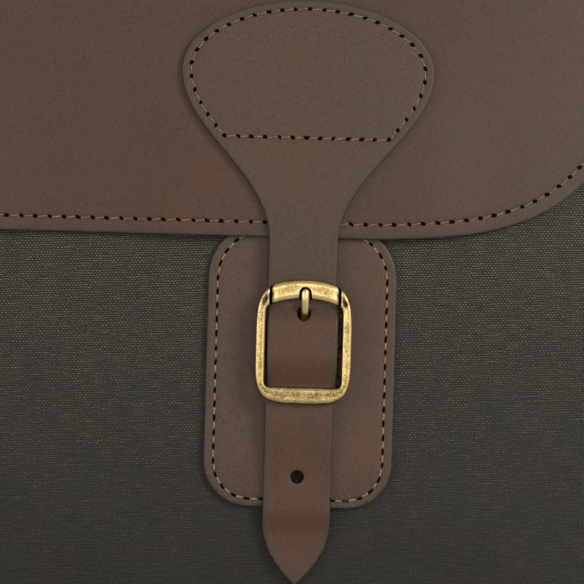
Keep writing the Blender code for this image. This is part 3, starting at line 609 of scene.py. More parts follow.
def flap_seam_line():
    """The edge curve moved inwards, and straight up beside both side edges."""
    x, z = flap_edge_curve()
    way = unit(joined(np.gradient(x), np.gradient(z)))
    x, z = x - way[:, 1] * FLAP_SEAM, z + way[:, 0] * FLAP_SEAM
    x, z = np.r_[x, x[-1]], np.r_[z, MOUTH_HEIGHT - 6 * MM]
    return joined(np.r_[-x[::-1], x], np.r_[z[::-1], z])


def flap_leather():
    """Upright columns from the lower edge up the front, over a superellipse of power 2.6 and
    down the back, with closer rows beside the edge for its rounding and its seam."""
    edge_x, edge_z = flap_edge_curve()
    pick = np.linspace(0, 1, 60) ** 0.8 * (len(edge_x) - 1)
    side_x = np.interp(pick, np.arange(len(edge_x)), edge_x)
    side_z = np.interp(pick, np.arange(len(edge_x)), edge_z)
    middle = np.linspace(-1, 1, 175)[1:-1] * side_x[0]
    x = np.r_[-side_x[::-1], middle, side_x]
    foot = np.r_[side_z[::-1], np.full(173, FLAP_EDGE), side_z]
    near = np.r_[NEAR_EDGE, np.arange(1.4, 8.1, 0.55) * MM]
    rest = np.linspace(0, 1, 55)[1:, None]
    z = np.concatenate([foot + near[:, None], foot + near[-1] + (MOUTH_HEIGHT - foot - near[-1]) * rest])
    wide = np.broadcast_to(x, z.shape)
    front = flap_face(wide, z)
    turn = np.linspace(0, math.pi, 45)[1:-1, None]
    reach = np.abs(np.cos(turn)) ** (2 / FLAP_ARCH_POWER) * np.sign(np.cos(turn))
    lift = np.abs(np.sin(turn)) ** (2 / FLAP_ARCH_POWER) * FLAP_ARCH
    near_y = on_front(x, MOUTH_HEIGHT, FLAP_LOW)[:, 1]
    back_x = x * FLAP_BACK_HALF_WIDTH / FLAP_HALF_WIDTH
    far_y = on_back(back_x, MOUTH_HEIGHT, GAP)[:, 1]
    narrow = 1 + (FLAP_BACK_HALF_WIDTH / FLAP_HALF_WIDTH - 1) * smoothstep(turn, 0, math.pi)
    arch = joined(x * narrow, (near_y + far_y) / 2 + reach * (near_y - far_y) / 2, MOUTH_HEIGHT + lift)
    drop = stations(np.full((1, len(x)), FLAP_BACK_END), np.full((1, len(x)), MOUTH_HEIGHT), 36)[-5::-1]
    inner = np.concatenate([front, arch, on_back(back_x, drop, GAP)])
    spare = (len(inner) - 1) % COARSE
    keep = np.delete(np.arange(len(inner)), np.arange(len(front), len(front) + spare))
    inner = inner[keep]
    grown = np.gradient(inner, axis=0), np.gradient(inner, axis=1)
    normal = -unit(np.cross(*grown))

    plan_z = np.concatenate([z, MOUTH_HEIGHT + np.zeros((len(arch), len(x))),
                             np.broadcast_to(drop, (len(drop), len(x)))])[keep]
    plan = joined(x, plan_z)
    plan_x = plan[..., 0]
    outline = joined(np.r_[-edge_x[::-1], edge_x], np.r_[edge_z[::-1], edge_z])
    outline = np.concatenate([[[-FLAP_HALF_WIDTH, 0.4]], outline, [[FLAP_HALF_WIDTH, 0.4]]])
    edge = nearest_on(outline, plan)[..., 0]
    behind = np.arange(len(inner))[:, None] >= len(inner) - len(drop)
    edge = np.where(behind, np.minimum(FLAP_HALF_WIDTH - np.abs(plan_x), plan_z - FLAP_BACK_END), edge)
    line = flap_seam_line()
    seam = nearest_on(line, plan)
    holes, pitch = holes_along(line, FLAP_PITCH)
    number = seam[..., 2] / pitch
    offset = np.where(np.arange(len(inner))[:, None] < len(z), seam[..., 1], NO_SEAM)
    for row in BACK_SEAMS:
        close = behind & (np.abs(plan_z - FLAP_BACK_END - row) < 3 * MM)
        number = np.where(close, plan_x * FLAP_BACK_HALF_WIDTH / FLAP_HALF_WIDTH / FLAP_PITCH, number)
        offset = np.where(close, plan_z - FLAP_BACK_END - row, offset)
    sunk = SEAM_SINK * hump(offset, 0, SEAM_SINK_REACH)
    outer = inner + normal * (FLAP_LEATHER - rounded(edge, EDGE_ROUND) - sunk)[..., None]
    warm = 0.35 * hump(plan_z, FLAP_EDGE + 3 * MM, 7 * MM)
    for side, _, _ in SIDES:
        spot = hump(plan_x, side * (STRAP_X - 33 * MM), 22 * MM)
        warm = warm + 0.7 * spot * hump(plan_z, FLAP_EDGE + 22 * MM, 16 * MM)
    made = closed_sheet("flap", outer, inner,
                        {"seam": joined(number, SEAM_ZERO + offset / MM)},
                        {"edge": edge / MM, "warm": warm})
    dress(made, "flap", flap_look)
    runs = [stitch_places(flap_face, holes, FLAP_LEATHER)]
    reach = math.floor((FLAP_BACK_HALF_WIDTH - 4 * MM) / FLAP_PITCH)
    x = np.arange(-reach, reach + 1) * FLAP_PITCH
    for row in BACK_SEAMS:
        z = np.full_like(x, FLAP_BACK_END + row)
        points = on_back(x, z, GAP + FLAP_LEATHER - SEAM_SINK)
        runs.append((points, np.broadcast_to([0, 1.0, 0], points.shape)))
    stitching("flap_stitching", runs, linen_thread, tilt=0.6 * MM)


flap_leather()

# Patches. Under each buckle a piece of cowhide, 2 mm thick, is sewn to the canvas front
# with one row of stitches. Its corners are round, and its top is under the flap.

PATCH_HALF = 34.2 * MM
PATCH_TOP = 6 * MM
PATCH_BOTTOM = -97.8 * MM
PATCH_TOP_RADIUS = 21 * MM
PATCH_BOTTOM_RADIUS = 16.5 * MM
PATCH_SEAM = 3.5 * MM
PATCH_PITCH = 5.1 * MM
SPARE_HOLE_V = -86.6 * MM
# Between these heights the foot begins: its seam drops to the edge and its skin gets a painted shade,
# darker towards the bottom
PATCH_FOOT = (-76 * MM, -92 * MM)
FOOT_PAINTED_SHADE = 0.12
HIDDEN_PAINTED_SHADE = 0.8
strap_look = oiled_leather("oiled_strap_leather", "#4b3829", "#513627", "#41382c", 0.5)
patch_look = oiled_leather("oiled_patch_leather", "#4f3b2c", "#55392a", "#453b2f", 0.5, (0.2, 0.3))
heavy_thread = sewing_thread("thick_linen_thread", "#685243", "#b0967f")


def patch_face(x, v):
    """The patch's inner face, just off the canvas."""
    return on_front(STRAP_X + x, FLAP_EDGE + v, GAP)


def round_corner(x, v, radius, start, count):
    """A quarter of a circle about x, v that begins at the angle start."""
    turn = np.radians(start) + np.linspace(0, math.pi / 2, count)
    return joined(x + radius * np.cos(turn), v + radius * np.sin(turn))


def patch_seam_line():
    """The outline moved inwards, closed; its foot is 0.7 mm nearer to the edge."""
    corners = ((1, PATCH_BOTTOM, PATCH_BOTTOM_RADIUS, 1, -90), (1, PATCH_TOP, PATCH_TOP_RADIUS, -1, 0),
               (-1, PATCH_TOP, PATCH_TOP_RADIUS, -1, 90), (-1, PATCH_BOTTOM, PATCH_BOTTOM_RADIUS, 1, 180))
    parts = [round_corner(side * (PATCH_HALF - radius), end + way * radius, radius - PATCH_SEAM, start, 16)
             for side, end, radius, way, start in corners]
    line = np.concatenate(parts)
    line[:, 1] -= 0.7 * MM * smoothstep(line[:, 1], *PATCH_FOOT)
    return np.concatenate([line, line[:1]])


def patches():
    """Rows across the patch; the plan is the same on both sides of the bag, mirrored. Its
    holes are narrower than the strap's, so the seam map's offset is stretched there."""
    turn = np.linspace(0, math.pi / 2, 25)
    low_v = PATCH_BOTTOM + PATCH_BOTTOM_RADIUS * (1 - np.cos(turn))
    high_v = PATCH_TOP - PATCH_TOP_RADIUS * (1 - np.cos(turn[::-1]))
    low_half = PATCH_HALF - PATCH_BOTTOM_RADIUS * (1 - np.sin(turn))
    high_half = PATCH_HALF - PATCH_TOP_RADIUS * (1 - np.sin(turn[::-1]))
    v = np.r_[low_v, np.linspace(low_v[-1], high_v[0], 81)[1:-1], high_v]
    half = np.r_[low_half, np.full(79, PATCH_HALF), high_half]
    x = stations(-half[None], half[None], 85).T
    v = np.broadcast_to(v[:, None], x.shape)
    plan = joined(x, v)
    edge = edge_distance(plan)
    line = patch_seam_line()
    seam = nearest_on(line, plan)
    holes, pitch = holes_along(line, PATCH_PITCH)
    sunk = SEAM_SINK * hump(seam[..., 1], 0, SEAM_SINK_REACH)
    inner = patch_face(x, v)
    outer = skin(patch_face, x, v, PATCH_LEATHER, edge, sunk)
    warm = 0.75 * hump(x, 24 * MM, 10 * MM) * hump(v, -74 * MM, 12 * MM)
    warm = warm + 0.3 * smoothstep(x, 8 * MM, 28 * MM) - 0.15
    # Painted shade: the patch is darker and matt in the gaps between the strap and the buckle's frame and
    # under the strap's spare hole, and a little darker towards its foot
    in_frame = smoothstep(np.abs(x - 0.7 * MM), 15.4 * MM, 14.2 * MM)
    in_frame = in_frame * smoothstep(v, -57 * MM, -55 * MM) * smoothstep(v, -20 * MM, -22 * MM)
    under_hole = smoothstep(np.hypot(x, v - SPARE_HOLE_V), 3.6 * MM, 2.6 * MM)
    painted_shade = np.maximum(HIDDEN_PAINTED_SHADE * np.maximum(in_frame, under_hole),
                       FOOT_PAINTED_SHADE * smoothstep(v, *PATCH_FOOT))
    uv = joined(seam[..., 2] / pitch, SEAM_ZERO + 1.5 * seam[..., 1] / MM)
    points, outward = stitch_places(patch_face, holes, PATCH_LEATHER)
    for side, word, flip in SIDES:
        made = closed_sheet("patch_" + word, outer * flip, inner * flip, {"seam": uv},
                            {"edge": edge / MM, "warm": warm, "painted_shade": painted_shade})
        dress(made, "patch_" + word, patch_look)
        way = slice(None, None, side)
        stitching("patch_stitching_" + word, [(points[way] * flip, outward[way] * flip)], heavy_thread,
                  twists=2, size=1.6, share=0.54)


patches()

# Closing straps. Each is one piece of cowhide, 2.2 mm thick: a bulb-shaped head sewn on the
# flap with a row of stitches round it and one across, and a 25 mm strap with a pointed tip.
# The strap bulges where it goes through the buckle, and has punched holes.

STRAP_LEATHER = 2.2 * MM
STRAP_HALF = 12.5 * MM
STRAP_TIP_HALF = 12.2 * MM
STRAP_SPREAD = 0.3 * MM
STRAP_STEP = 0.55 * MM
TIP_START = -102 * MM
TIP_END = -126 * MM
TIP_POWER = 2.25
TIP_BLUNT = 0.35 * MM
HEAD_HALF = 45.8 * MM
HEAD_MIDDLE = 60.5 * MM
HEAD_TOP = 86.3 * MM
SPARE_HOLE_RADIUS = 2.5 * MM
PRONG_HOLE_V = -27.3 * MM
PRONG_HOLE_HALF = (2.5 * MM, 2.8 * MM)
PRONG_HOLE_SHIFT = 0.85 * MM
PUNCH_REACH = (-75 * MM, -30 * MM)
HOLE_SINK = 0.45 * MM
HOLE_BRINK = 1.6 * MM
# Half width and height of the four points of the curve below the head
FLANK = np.array(((45.8, 60.5), (45.8, 38), (14, 24), (12.5, 0))) * MM
# Where each smooth step of the strap begins and ends, and how far it goes outwards
STRAP_RAMPS = np.array(((-24.4, -32.4, 3.2), (-42, -54, -3.1), (-62, -92, -2.7),
                        (-98, -108, -2.0), (-112, -126, 0.8))) * MM
HEAD_SEAM = 3.3 * MM
HEAD_PITCH = 5.0 * MM
CROSS_SEAM_V = 35.7 * MM


def in_buckle(v):
    """1 inside the buckle's opening and 0 outside, changing behind its upper and lower bar."""
    return smoothstep(v, -17.5 * MM, -23.5 * MM) * smoothstep(v, -60 * MM, -54 * MM)


def strap_half_width(v):
    """Pointed tip, even strap, a cubic curve for the flank, then the head's ellipse."""
    t = np.linspace(0, 1, 200)[:, None]
    a, b, c, d = FLANK
    flank = a * (1 - t) ** 3 + 3 * b * t * (1 - t) ** 2 + 3 * c * t ** 2 * (1 - t) + d * t ** 3
    head = HEAD_HALF * np.sqrt(np.clip(1 - ((v - HEAD_MIDDLE) / (HEAD_TOP - HEAD_MIDDLE)) ** 2, 0, 1))
    even = STRAP_HALF + (STRAP_TIP_HALF - STRAP_HALF) * np.clip(v / TIP_START, 0, 1)
    even = even + STRAP_SPREAD * in_buckle(v)
    tip = STRAP_TIP_HALF * (1 - np.clip((TIP_START - v) / (TIP_START - TIP_END), 0, 1) ** TIP_POWER)
    side = np.where(v > 0, np.interp(v, flank[::-1, 1], flank[::-1, 0]), even)
    return np.where(v > HEAD_MIDDLE, head, np.where(v < TIP_START, tip, side))


def strap_face(x, v):
    """The strap's inner face: on the flap above its edge, and below it a level and a sum of
    smooth steps that carry the strap over the buckle's bar and down to the tip."""
    level = flap_lift(STRAP_X + x, FLAP_EDGE + np.maximum(v, 0)) + FLAP_LEATHER + GAP
    for begin, end, rise in STRAP_RAMPS:
        level = level + rise * smoothstep(v, begin, end)
    return on_front(STRAP_X + x, FLAP_EDGE + v, level)


def head_seam_line():
    """Round the head inside its edge, then straight across below it, closed."""
    v = np.r_[np.linspace(24 * MM, HEAD_MIDDLE, 120),
              HEAD_MIDDLE + (HEAD_TOP - HEAD_MIDDLE) * np.sin(np.linspace(0, math.pi / 2, 90)[1:])]
    curve = joined(strap_half_width(v), v)
    way = unit(np.gradient(curve, axis=0))
    curve = curve + joined(-way[:, 1], way[:, 0]) * HEAD_SEAM
    curve = curve[(curve[:, 1] > CROSS_SEAM_V) & (curve[:, 0] > 0)]
    line = np.concatenate([curve, curve[::-1] * [-1, 1]])
    return np.concatenate([line, line[:1]])


def punched(leather, tools):
    """The leather with the tools' holes through it."""
    for tool in tools:
        change = leather.modifiers.new(tool.name, "BOOLEAN")
        change.object = tool
        change.solver = "EXACT"
    bpy.context.view_layer.update()
    old = leather.data
    leather.data = bpy.data.meshes.new_from_object(
        leather.evaluated_get(bpy.context.evaluated_depsgraph_get()))
    leather.modifiers.clear()
    leather.data.name = old.name
    leather.data.set_sharp_from_angle(angle=math.radians(40))
    for tool in tools:
        bpy.data.objects.remove(tool)
    return leather


def circle(radius, sides):
    """A round outline or section."""
    turn = np.linspace(0, 2 * math.pi, sides, endpoint=False)
    return radius * joined(np.cos(turn), np.sin(turn))


def pillar(name, outline, low, high):
    """A closed prism: an outline in x and z carried from one y to another."""
    count = len(outline)
    points = np.concatenate([joined(outline[:, 0], y, outline[:, 1]) for y in (low, high)])
    index = np.arange(2 * count).reshape(2, count)
    return put_mesh(name, points, [quads(index, close_columns=True), index[:1, ::-1], index[1:]])


def closing_straps():
    """Rows across the strap from the tip to the top of the head, mirrored for the left one.
    The head's stitches are numbered both ways from its two lower corners."""
    tip_end = TIP_END + TIP_BLUNT
    tip = tip_end + (TIP_START - tip_end) * np.linspace(0, 1, 36) ** 1.3
    head = HEAD_MIDDLE + (HEAD_TOP - HEAD_MIDDLE) * np.sin(np.linspace(0, math.radians(89.4), 61)[1:])
    v = np.r_[tip, np.linspace(TIP_START, 0, 146)[1:], np.linspace(0, HEAD_MIDDLE, 77)[1:], head]
    half = strap_half_width(v)
    x = stations(-half[None], half[None], 97).T + STRAP_STEP * in_buckle(v)[:, None]
    v = np.broadcast_to(v[:, None], x.shape)
    plan = joined(x, v)
    edge = edge_distance(plan)
    line = head_seam_line()
    seam = nearest_on(line, plan)
    offset = seam[..., 1]
    sunk = SEAM_SINK * hump(offset, 0, SEAM_SINK_REACH)
    for hole_x, hole_v in ((0, SPARE_HOLE_V), (PRONG_HOLE_SHIFT, PRONG_HOLE_V)):
        away = np.hypot(x - hole_x, v - hole_v)
        sunk = sunk + HOLE_SINK * hump(away, HOLE_BRINK, 1.3 * MM) * (away > HOLE_BRINK)
    inner = strap_face(x, v)
    outer = skin(strap_face, x, v, STRAP_LEATHER, edge, sunk)
    warm = 0.65 * smoothstep(v, -22 * MM, -34 * MM) + 0.25 * smoothstep(v, -98 * MM, -108 * MM)
    warm = warm * (1 - 0.5 * hump(v, -16 * MM, 12 * MM))
    warm = warm + 0.5 * hump(v, 33 * MM, 9 * MM) * hump(x, -8 * MM, 26 * MM)
    (arc_holes, arc_pitch), (cross_holes, cross_pitch) = [holes_along(part, HEAD_PITCH)
                                                          for part in (line[:-1], line[-2:])]
    holes = np.concatenate([arc_holes[:-1], cross_holes])
    arc, cross = arc_pitch * (len(arc_holes) - 1), cross_pitch * (len(cross_holes) - 1)
    past = seam[..., 2] - arc
    number = np.where(past > 0, np.minimum(past, cross - past) / cross_pitch,
                      -np.minimum(seam[..., 2], -past) / arc_pitch)
    uv = joined(number, SEAM_ZERO + offset / MM)
    points, outward = stitch_places(strap_face, holes, STRAP_LEATHER)
    hole = circle(1.0, 40)
    for side, word, flip in SIDES:
        name = "closing_strap_" + word
        made = closed_sheet(name, outer * flip, inner * flip, {"seam": uv},
                            {"edge": edge / MM, "warm": warm})
        spare = hole * SPARE_HOLE_RADIUS + [side * STRAP_X, FLAP_EDGE + SPARE_HOLE_V]
        slot = hole * PRONG_HOLE_HALF + [side * (STRAP_X + PRONG_HOLE_SHIFT), FLAP_EDGE + PRONG_HOLE_V]
        punched(made, [pillar("spare_hole", spare, *PUNCH_REACH),
                       pillar("prong_hole", slot, *PUNCH_REACH)])
        dress(made, name, strap_look)
        way = slice(None, None, side)
        stitching("head_stitching_" + word, [(points[way] * flip, outward[way] * flip)], linen_thread,
                  tilt=0.5 * MM)
        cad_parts["chape_" + word].data.materials.clear()
        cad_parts["chape_" + word].data.materials.append(strap_look)


closing_straps()

# Buckles. Each frame is cast brass with an antique finish: lacquered dark, then rubbed, so
# the bevels shine and the flats keep brown speckles. Its upper bar is a raised plate between
# two grooves, with a notch for the tip of the prong, which turns on a bar behind the strap.

BUCKLE_SHIFT = 1.0 * MM
PRONG_SHIFT = 0.2 * MM
# The upper bar, in mm: half the plate's width, then how deep the cuts beside it go
PLATE_HALF = 12.5
GROOVE_DEPTH = 0.75
SLOPE_DEPTH = 0.45
CHEEK_DEPTH = 0.3
BUCKLE_OUTER_HALF = (17.45 * MM, 22.45 * MM)
BUCKLE_OUTER_V = -37.65 * MM
BUCKLE_INNER_HALF = (13.85 * MM, 15.95 * MM)
BUCKLE_INNER_V = -38.05 * MM
BUCKLE_OUTER_POWER = 5
BUCKLE_INNER_POWER = 24
BUCKLE_OUTER_ARCH = (3.3 * MM, 0.8 * MM)
BUCKLE_INNER_ARCH = (2.9 * MM, 0)
BUCKLE_BACK = 8.0 * MM
BUCKLE_THICK = 3.0 * MM
BAR_V = -39 * MM
BAR_H = 5.4 * MM
BAR_RADIUS = 1.3 * MM
BAR_RISE = 4.1 * MM
# The frame's section: shares of its width, from the opening outwards, and of its thickness
BUCKLE_SECTION = ((0.0, 0.25), (0.0, 0.55), (0.02, 0.74), (0.09, 0.89), (0.20, 0.985), (0.30, 0.995),
                  (0.42, 0.965), (0.58, 0.965), (0.70, 0.995), (0.80, 0.985), (0.91, 0.89), (0.98, 0.74),
                  (1.0, 0.55), (1.0, 0.25), (0.94, 0.06), (0.84, 0.0), (0.16, 0.0), (0.06, 0.06))
# The prong along its length: place up the strap, height, then half its thickness and width
PRONG_SHANK = np.array(((-36.2, 7.5, 0.5, 1.3), (-33.0, 7.15, 0.5, 1.3), (-30.6, 6.9, 0.55, 1.3),
                        (-28.7, 7.6, 0.75, 1.35), (-26.2, 9.4, 1.0, 1.4), (-22.8, 10.8, 1.15, 1.45),
                        (-19.8, 10.8, 1.1, 1.45), (-18.9, 10.7, 0.85, 1.0),
                        (-18.5, 10.6, 0.4, 0.5))) * MM
PRONG_EYE_WALL = 0.5 * MM
PRONG_EYE_HALF = 1.3 * MM
# Places along the middle bar, and where its ends begin and stop to rise
BAR_STATIONS = np.array([-15.9, -15.3, -14.6, -13.9, -13.2, 0, 13.2, 13.9, 14.6, 15.3, 15.9]) * MM
BAR_BEND = (13.2 * MM, 15.4 * MM)
ROD_SIDES = 16
# Half the round notch for the prong's tip, and the outline of its open foot, in mm
NOTCH_RADIUS = 2.3
NOTCH_V = -20.0
NOTCH_FOOT = ((-2.4, -21.4), (-2.9, -23.5), (2.9, -23.5), (2.4, -21.4))
NOTCH_FLOOR = 1.3 * MM
# Painted shade: near black for the bar hidden behind the strap and the notch under the prong's tip
DEEP_PAINTED_SHADE = 1.7


def antique_brass():
    """Cast brass, darkened and rubbed back: bright on its ridges, speckled brown on its
    flats and nearly black in its recesses, where lacquer stays and where painted shade darkens
    the hidden bar, the notch, the prong behind the strap and the frame's outline."""
    made, tree, shader = new_material("antiqued_cast_brass", 0.3, metallic=1.0)
    place = add(tree, "TexCoord", {})["Object"]
    patina_and_shade = add(tree, "Attribute", {}, attribute_name="patina_and_shade")["Fac"]
    # Specks of lacquer 0.4 mm wide, and clouds of 4 mm
    speck = add(tree, "TexNoise", {"Vector": place, "Scale": 2300, "Detail": 3, "Roughness": 0.7})[0]
    cloud = add(tree, "TexNoise", {"Vector": place, "Scale": 240, "Detail": 2})[0]
    amount = add(tree, "Math", {0: speck, 1: 1.5, 2: patina_and_shade}, operation="MULTIPLY_ADD")[0]
    amount = add(tree, "Math", {0: cloud, 1: 0.7, 2: amount}, operation="MULTIPLY_ADD")[0]
    dark = add(tree, "MapRange", {0: amount, 1: 1.23, 2: 1.95, 3: 0.0, 4: 1.0})[0]
    colour = add(tree, "Mix", {0: dark, 6: linear("#e6c885"), 7: linear("#3a2a14")}, data_type="RGBA")[2]
    # Lacquer and painted shade: high values of the attribute scale the colour towards black
    lacquer_and_shade = add(tree, "MapRange", {0: patina_and_shade, 1: 1.0, 2: 1.6, 3: 1.0, 4: 0.06})[0]
    colour = add(tree, "VectorMath", {0: colour, "Scale": lacquer_and_shade}, operation="SCALE")[0]
    tree.links.new(colour, shader.inputs["Base Color"])
    rough = add(tree, "MapRange", {0: dark, 3: 0.27, 4: 0.6})[0]
    tree.links.new(rough, shader.inputs["Roughness"])
    bump = add(tree, "Bump", {"Strength": 0.35, "Distance": 0.12 * MM, "Height": speck})
    tree.links.new(bump[0], shader.inputs["Normal"])
    return made


brass_look = antique_brass()


def buckle_point(x, v, h):
    """A point of the right buckle, measured from the canvas behind its bar."""
    middle = on_front(STRAP_X, FLAP_EDGE + BAR_V, 0)
    return joined(STRAP_X + BUCKLE_SHIFT + x, middle[1] - h, FLAP_EDGE + v)


def arched(over, up, arch):
    """Parabola that bends a loop's top and foot, with smooth steps from its middle on."""
    top, foot = arch
    return over ** 2 * (foot * smoothstep(up, 0, -0.5) - top * smoothstep(up, 0, 0.5))


def buckle_edges(turn):
    """The frame's outer edge and its opening's: superellipses whose tops a parabola bends.
    A point of the opening is the outer one moved in by the bars' widths and then along its
    ray to the inner superellipse."""
    (outer_x, outer_v), (inner_x, inner_v) = BUCKLE_OUTER_HALF, BUCKLE_INNER_HALF
    over = np.sign(np.cos(turn)) * np.abs(np.cos(turn)) ** (2 / BUCKLE_OUTER_POWER)
    up = np.sign(np.sin(turn)) * np.abs(np.sin(turn)) ** (2 / BUCKLE_OUTER_POWER)
    near_x = over * (outer_x - (outer_x - inner_x) * np.abs(over) ** 5) / inner_x
    near_v = up * (outer_v - (outer_v - inner_v) * np.abs(up) ** 5) / inner_v
    ray = np.abs(near_x) ** BUCKLE_INNER_POWER + np.abs(near_v) ** BUCKLE_INNER_POWER
    near_x, near_v = near_x / ray ** (1 / BUCKLE_INNER_POWER), near_v / ray ** (1 / BUCKLE_INNER_POWER)
    outer = over * outer_x, BUCKLE_OUTER_V + up * outer_v + arched(over, up, BUCKLE_OUTER_ARCH)
    inner = near_x * inner_x, BUCKLE_INNER_V + near_v * inner_v + arched(near_x, near_v, BUCKLE_INNER_ARCH)
    return outer, inner


def sweep(name, path, across, up, section, closed=False, values=None):
    """A section carried along a path, with its ends closed unless the path is."""
    section = np.asarray(section, float)
    if section.ndim == 2:
        section = np.repeat(section[None], len(path), axis=0)
    points = path[:, None] + across[:, None] * section[:, :, :1] + up[:, None] * section[:, :, 1:]
    index = np.arange(points[..., 0].size).reshape(points.shape[:2])
    faces = [quads(index, close_rows=closed, close_columns=True)]
    if not closed:
        faces += [index[:1, ::-1], index[-1:]]
    return put_mesh(name, points.reshape(-1, 3), faces, None, values)


def smooth_path(points, count):
    """Even stations on the smooth curve through the points (Catmull-Rom)."""
    points = np.asarray(points, float)
    padded = np.vstack([2 * points[0] - points[1], points, 2 * points[-1] - points[-2]])
    t = np.linspace(0, 1, 24, endpoint=False)[:, None]
    pieces = []
    for a, b, c, d in zip(padded, padded[1:], padded[2:], padded[3:]):
        pieces.append(0.5 * (2 * b + (c - a) * t + (2 * a - 5 * b + 4 * c - d) * t ** 2
                             + (3 * b - a - 3 * c + d) * t ** 3))
    curve = np.vstack(pieces + [points[-1:]])
    length = lengths(curve[:, :3])
    wanted = np.linspace(0, length[-1], count)
    return np.column_stack([np.interp(wanted, length, curve[:, k]) for k in range(curve.shape[1])])


def cross_bar(name, flip):
    """The bar behind the strap: a round rod whose ends rise into the frame's sides, painted near black as
    the shade behind the strap.
    """
    height = BAR_H + BAR_RISE * smoothstep(np.abs(BAR_STATIONS), *BAR_BEND)
    path = buckle_point(BAR_STATIONS, BAR_V, height) * flip
    along = unit(np.gradient(path, axis=0))
    up_way = np.array([[0, 0, 1.0]] * len(path))
    return sweep(name, path, np.cross(up_way, along), up_way, circle(BAR_RADIUS, ROD_SIDES),
                 values={"patina_and_shade": np.full(ROD_SIDES * len(path), DEEP_PAINTED_SHADE)})


def prong(name, flip):
    """An eye round the bar, then the smooth curve through the shank's stations; its section
    is an ellipse, and it is painted darker, as shade, where it goes down behind the strap."""
    turn = np.radians(np.linspace(-195, 90, 31))
    radius = BAR_RADIUS + GAP + PRONG_EYE_WALL
    eye = joined(BAR_V - radius * np.cos(turn), BAR_H + radius * np.sin(turn), PRONG_EYE_WALL,
                 PRONG_EYE_HALF)
    rows = np.vstack([eye[:-2], smooth_path(np.vstack([eye[-1:], PRONG_SHANK]), 60)])
    path = buckle_point(PRONG_SHIFT, rows[:, 0], rows[:, 1]) * flip
    along = unit(np.gradient(path, axis=0))
    across = np.array([[1.0, 0, 0]] * len(path))
    section = circle(1.0, ROD_SIDES)[None] * rows[:, None, :1:-1]
    # Painted shade: darker where the prong goes down behind the strap
    dark = np.repeat(0.05 + 0.5 * smoothstep(rows[:, 0], -27 * MM, -31 * MM), ROD_SIDES)
    pin = sweep(name, path, across, np.cross(along, across), section, values={"patina_and_shade": dark})
    dress(pin, name, brass_look)


